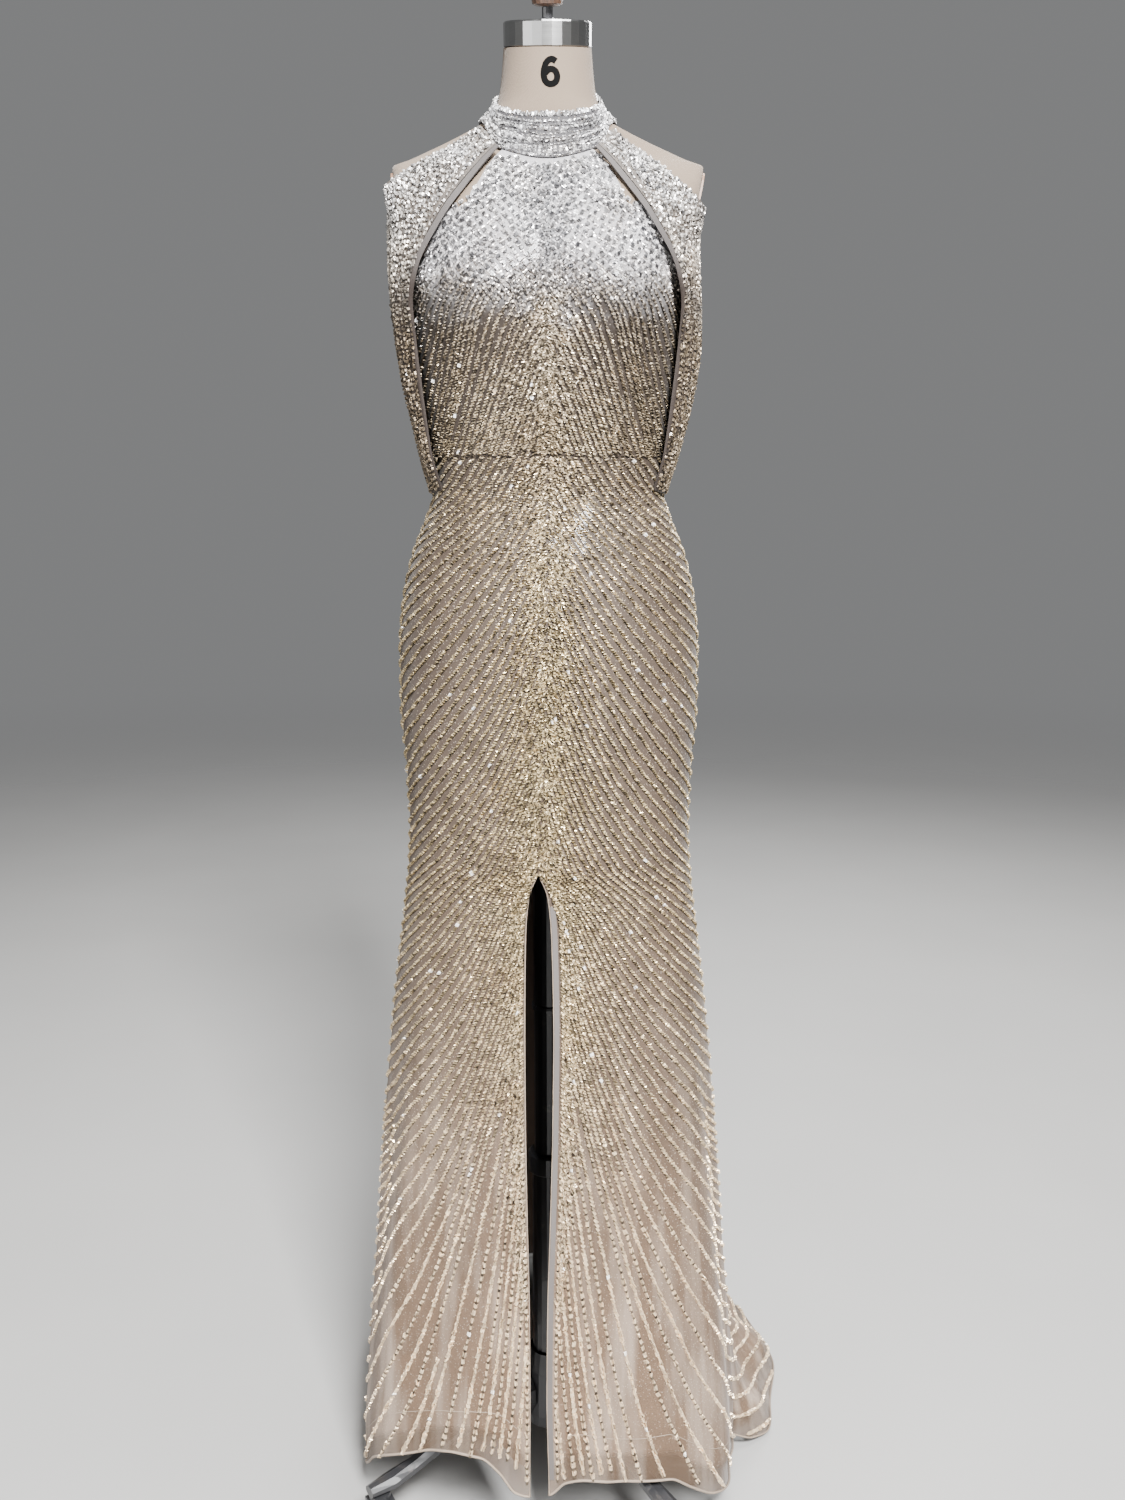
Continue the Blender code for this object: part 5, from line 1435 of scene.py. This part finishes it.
def waistRow(side, top, rear):
    # short dark stitches over the waist seam
    angle = np.linspace(-90, -90 + side * 180, 500)
    height = gown["waist"] + 0 * angle
    away = normalsOf(dress, angle, height)
    centre, along, normal, _, _ = alongLine(dress(angle, height) + away * gown["thick"], away,
                                            sewing["stitchPitch"])
    for tray, pick in ((top, centre[:, 1] <= 0), (rear, centre[:, 1] > 0)):
        layBeads(tray, *picked(pick, centre, along, normal), *sewing["stitch"], 0.06, 0.1)


def makeGownBeads():
    for side, word in ((-1, "Left"), (1, "Right")):
        front, back, top, rear = (newTray(40 + side + 3 * i) for i in range(4))
        crystals = newTray(70 + side)
        beadRows(side, skirtRows, -0.30, 1.75, True, (front, back), crystals)
        beadRows(side, bodiceRows, 1.10, 2.12, False, (top, rear), crystals)
        slitRow(side, front, crystals)
        waistRow(side, top, rear)
        scatterBeads(side, front, top)
        sewOn(front, "skirtFrontBeads" + word, beadsFinish, "warm_beads")
        sewOn(back, "skirtBackBeads" + word, beadsFinish, "warm_beads")
        sewOn(top, "bodiceFrontBeads" + word, beadsFinish, "cool_beads")
        sewOn(rear, "bodiceBackBeads" + word, beadsFinish, "cool_beads")
        sewOn(crystals, "crystals" + word, crystalFinish, "warm_beads")


makeGownBeads()
print("rows of beads: done")

collarRows = (
    # up the collar, length, width, height and tone of the beads of each row
    (0.040, 0.0034, 0.0024, 0.0014, 0.55), (0.130, 0.0044, 0.0030, 0.0024, 1.0),
    (0.215, 0.0042, 0.0030, 0.0024, 1.0), (0.300, 0.0030, 0.0018, 0.0012, 0.35),
    (0.370, 0.0048, 0.0032, 0.0028, 1.0), (0.440, 0.0044, 0.0030, 0.0026, 0.9),
    (0.550, 0.0030, 0.0018, 0.0012, 0.35), (0.655, 0.0046, 0.0034, 0.0026, 0.95),
    (0.740, 0.0030, 0.0020, 0.0014, 0.45), (0.830, 0.0038, 0.0028, 0.0018, 0.85),
)


# Down the drapes: where the beads keep off the bindings, and the brighter beads near the top
drapeBeading = {"marginAt": (0, 0.28, 0.36, 1), "margin": (1, 1, 0.15, 0.15), "apart": 0.0043,
                "wander": 0.0012, "crowded": 0.0030, "upper": (0.42, 0.32),
                "long": (0.0032, 0.0038), "wide": (0.0024, 0.0029), "pitch": (0.0046, 0.0053)}


def makeCollarBeads():
    dice, tray = np.random.default_rng(3), newTray(9)
    angle, small = np.linspace(90.8, 449.2, 720), collarBand["small"]
    for up, long, wide, high, tone in collarRows:
        rise = up + 0.012 * np.sin(np.radians(angle) * 11 + 30 * up)
        away = normalsOf(collar, angle, rise, small)
        centre, along, normal, _, _ = alongLine(
            collar(angle, rise) + away * collarBand["thick"], away, long * 1.14, 0.0, None, 0.08,
            dice)
        count = len(centre)
        layBeads(tray, centre, along, normal, long * dice.uniform(0.8, 1.05, count),
                 wide * dice.uniform(0.85, 1.15, count), high,
                 tone * (1 - 0.7 * dice.uniform(0, 1, count) ** 1.6), 0.22)
    # the picot edge: upright bars of uneven height
    spots = np.arange(91, 449, 2.3)
    count = len(spots)
    spots = spots + dice.uniform(-0.6, 0.6, count)
    low, high = collar(spots, 0.90), collar(spots, 1.0)
    away, rise = normalsOf(collar, spots, 0.97, small), unit(high - low)
    long = dice.uniform(0.0030, 0.0065, count)
    centre = high + away * 0.0012 + rise * (long[:, None] / 2 - 0.0025)
    layBeads(tray, centre, rise, away, long, 0.0026, 0.0020, dice.uniform(0.25, 1.0, count), 0.35)
    sewOn(tray, "collarBeads", beadsFinish, "cool_beads")


def makeDrapeBeads():
    for side, word in ((-1, "Left"), (1, "Right")):
        dice, tray = np.random.default_rng(31 + side), newTray(50 + side)
        surface, down, fine, length = drapeTables(side)
        steps, lastRow = np.linspace(0, 1, 120), len(down) - 1
        row = np.clip(steps * lastRow, 0, lastRow - 0.001)
        before = row.astype(int)
        margin = np.interp(steps, drapeBeading["marginAt"], drapeBeading["margin"])
        margin = margin * drapeCut["binding"] + 0.0024
        room = np.interp(row, np.arange(lastRow + 1), length[:, -1]) - 2 * margin
        upper = ramp(steps, *drapeBeading["upper"])
        pitch = np.interp(upper, [0, 1], drapeBeading["pitch"])
        count = int(length[:, -1].max() / drapeBeading["apart"])
        for number in range(count):
            # a line of beads down the drape, at its own share of the width
            distance = margin + room * (number + 0.5) / count
            distance = distance + drapeBeading["wander"] * np.sin(19 * steps + 2.3 * number)
            a, b = (np.array([np.interp(far, length[k], fine) for k, far in zip(rows, distance)])
                    for rows in (before, before + 1))
            across = a + (b - a) * (row - before)
            away = normalsOf(surface, across, steps, drapeCut["small"]) * -side
            keep = (room / count > drapeBeading["crowded"]) | (number % 2 == 0)
            centre, along, normal, where, run = alongLine(
                surface(across, steps) + away * drapeCut["thick"], away, pitch,
                0.5 * (number % 2), keep, 0.25, dice)
            amount = len(centre)
            high = np.interp(where, run, upper)
            long, wide = (np.interp(high, [0, 1], drapeBeading[key]) for key in ("long", "wide"))
            layBeads(tray, centre, along, normal, long * dice.uniform(0.7, 1.2, amount),
                     wide * dice.uniform(0.8, 1.2, amount), 0.0019,
                     (1 - dice.uniform(0, 1, amount) ** 1.3 * 0.85) * (0.30 + 0.70 * high), 0.3)
            # dark quads of painted shade beside some beads on the upper drape
            pick = (high > 0.1) & (dice.uniform(0, 1, amount) < 0.22)
            spread = dice.uniform(0.7, 1.2, int(pick.sum()))
            layShadeFlats(tray, *picked(pick, centre + unit(along) * 0.0021, along, normal),
                     0.0024 * spread, 0.0026 * spread, 0.0020,
                     dice.uniform(0.0, 0.15, int(pick.sum())))
        sewOn(tray, "drapeBeads" + word, drapeBeadsFinish, "cool_beads")


makeCollarBeads()
makeDrapeBeads()
print("collar and drape beads: done")


# The finish of each part of the stand and the form's fittings
finishes = {
    ironFinish: ("base_hub", "column_lower", "height_clamp", "column_upper", "stop_ring",
                 "column_top", "cap_stem", *(f"leg_{n}" for n in (1, 2, 3, 4)),
                 *(f"fork_{n}" for n in (1, 2, 3, 4))),
    tyreFinish: [f"wheel_{n}" for n in (1, 2, 3, 4)],
    steelFinish: ("neck_cap",),
    woodFinish: ("cap_knob",),
    plateFinish: ("arm_plate_left", "arm_plate_right"),
}
for finish, nodes in finishes.items():
    for node in nodes:
        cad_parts[node].data.materials[0] = finish
print("stand: done")

studio = {
    "floor": (0.30, 0.296, 0.288), "fade": (1.6, 7.0), "world": (0.86, 0.87, 0.88),
    "worldStrength": 0.25, "lens": 32.16, "eye": (0.015, -1.45, 1.15), "pitch": 79.3,
    # each light's place, the point it is aimed at, its size and its power
    "lights": {
        "keyLight": ((0.65, -2.6, 3.1), (0, 0, 0.9), 0.7, 780),
        "fillLight": ((-1.9, -2.0, 1.2), (0, 0, 0.7), 2.0, 60),
        "topLight": ((0.35, -0.45, 3.2), (0, 0, 1.3), 0.9, 90),
        "backLight": ((0.8, 2.4, 2.6), (0, 0, 1.1), 1.4, 110),
    },
}


def makeFloor():
    mesh = bpy.data.meshes.new("floor")
    mesh.from_pydata([(-9, -9, 0), (9, -9, 0), (9, 9, 0), (-9, 9, 0)], [], [(0, 1, 2, 3)])
    made, tree, shader, place = nodeMaterial("floorFinish")
    tone = rampNode(tree, noiseOf(tree, place, 3.0, 3.0), (
        (0.3, tuple(c * 0.96 for c in studio["floor"])), (0.7, studio["floor"])))
    far = addNode(tree, "ShaderNodeVectorMath", {0: place}, operation="LENGTH").outputs["Value"]
    fade = remap(tree, far, *studio["fade"], 1.0, 0.0, interpolation_type="SMOOTHSTEP")
    setInputs(tree, shader, {"Base Color": tone, "Roughness": 0.7, "Alpha": fade})
    mesh.materials.append(made)
    addObject("floor", mesh)


def makeStudio():
    world = bpy.data.worlds.new("studio")
    bpy.context.scene.world = world
    world.use_nodes = True
    sky = world.node_tree.nodes["Background"]
    setInputs(world.node_tree, sky, {0: (*studio["world"], 1), 1: studio["worldStrength"]})
    for name, (place, aim, size, power) in studio["lights"].items():
        data = bpy.data.lights.new(name, "AREA")
        data.energy, data.size = power, size
        lamp = addObject(name, data)
        lamp.location = place
        lamp.rotation_euler = (Vector(aim) - Vector(place)).to_track_quat("-Z", "Y").to_euler()
    data = bpy.data.cameras.new("camera")
    data.sensor_fit, data.sensor_width, data.lens = "AUTO", 36, studio["lens"]
    camera = addObject("camera", data)
    camera.location = Vector(studio["eye"]) + Vector(poleFoot)
    camera.rotation_euler = (math.radians(studio["pitch"]), 0, 0)
    bpy.context.scene.camera = camera


makeFloor()
makeStudio()
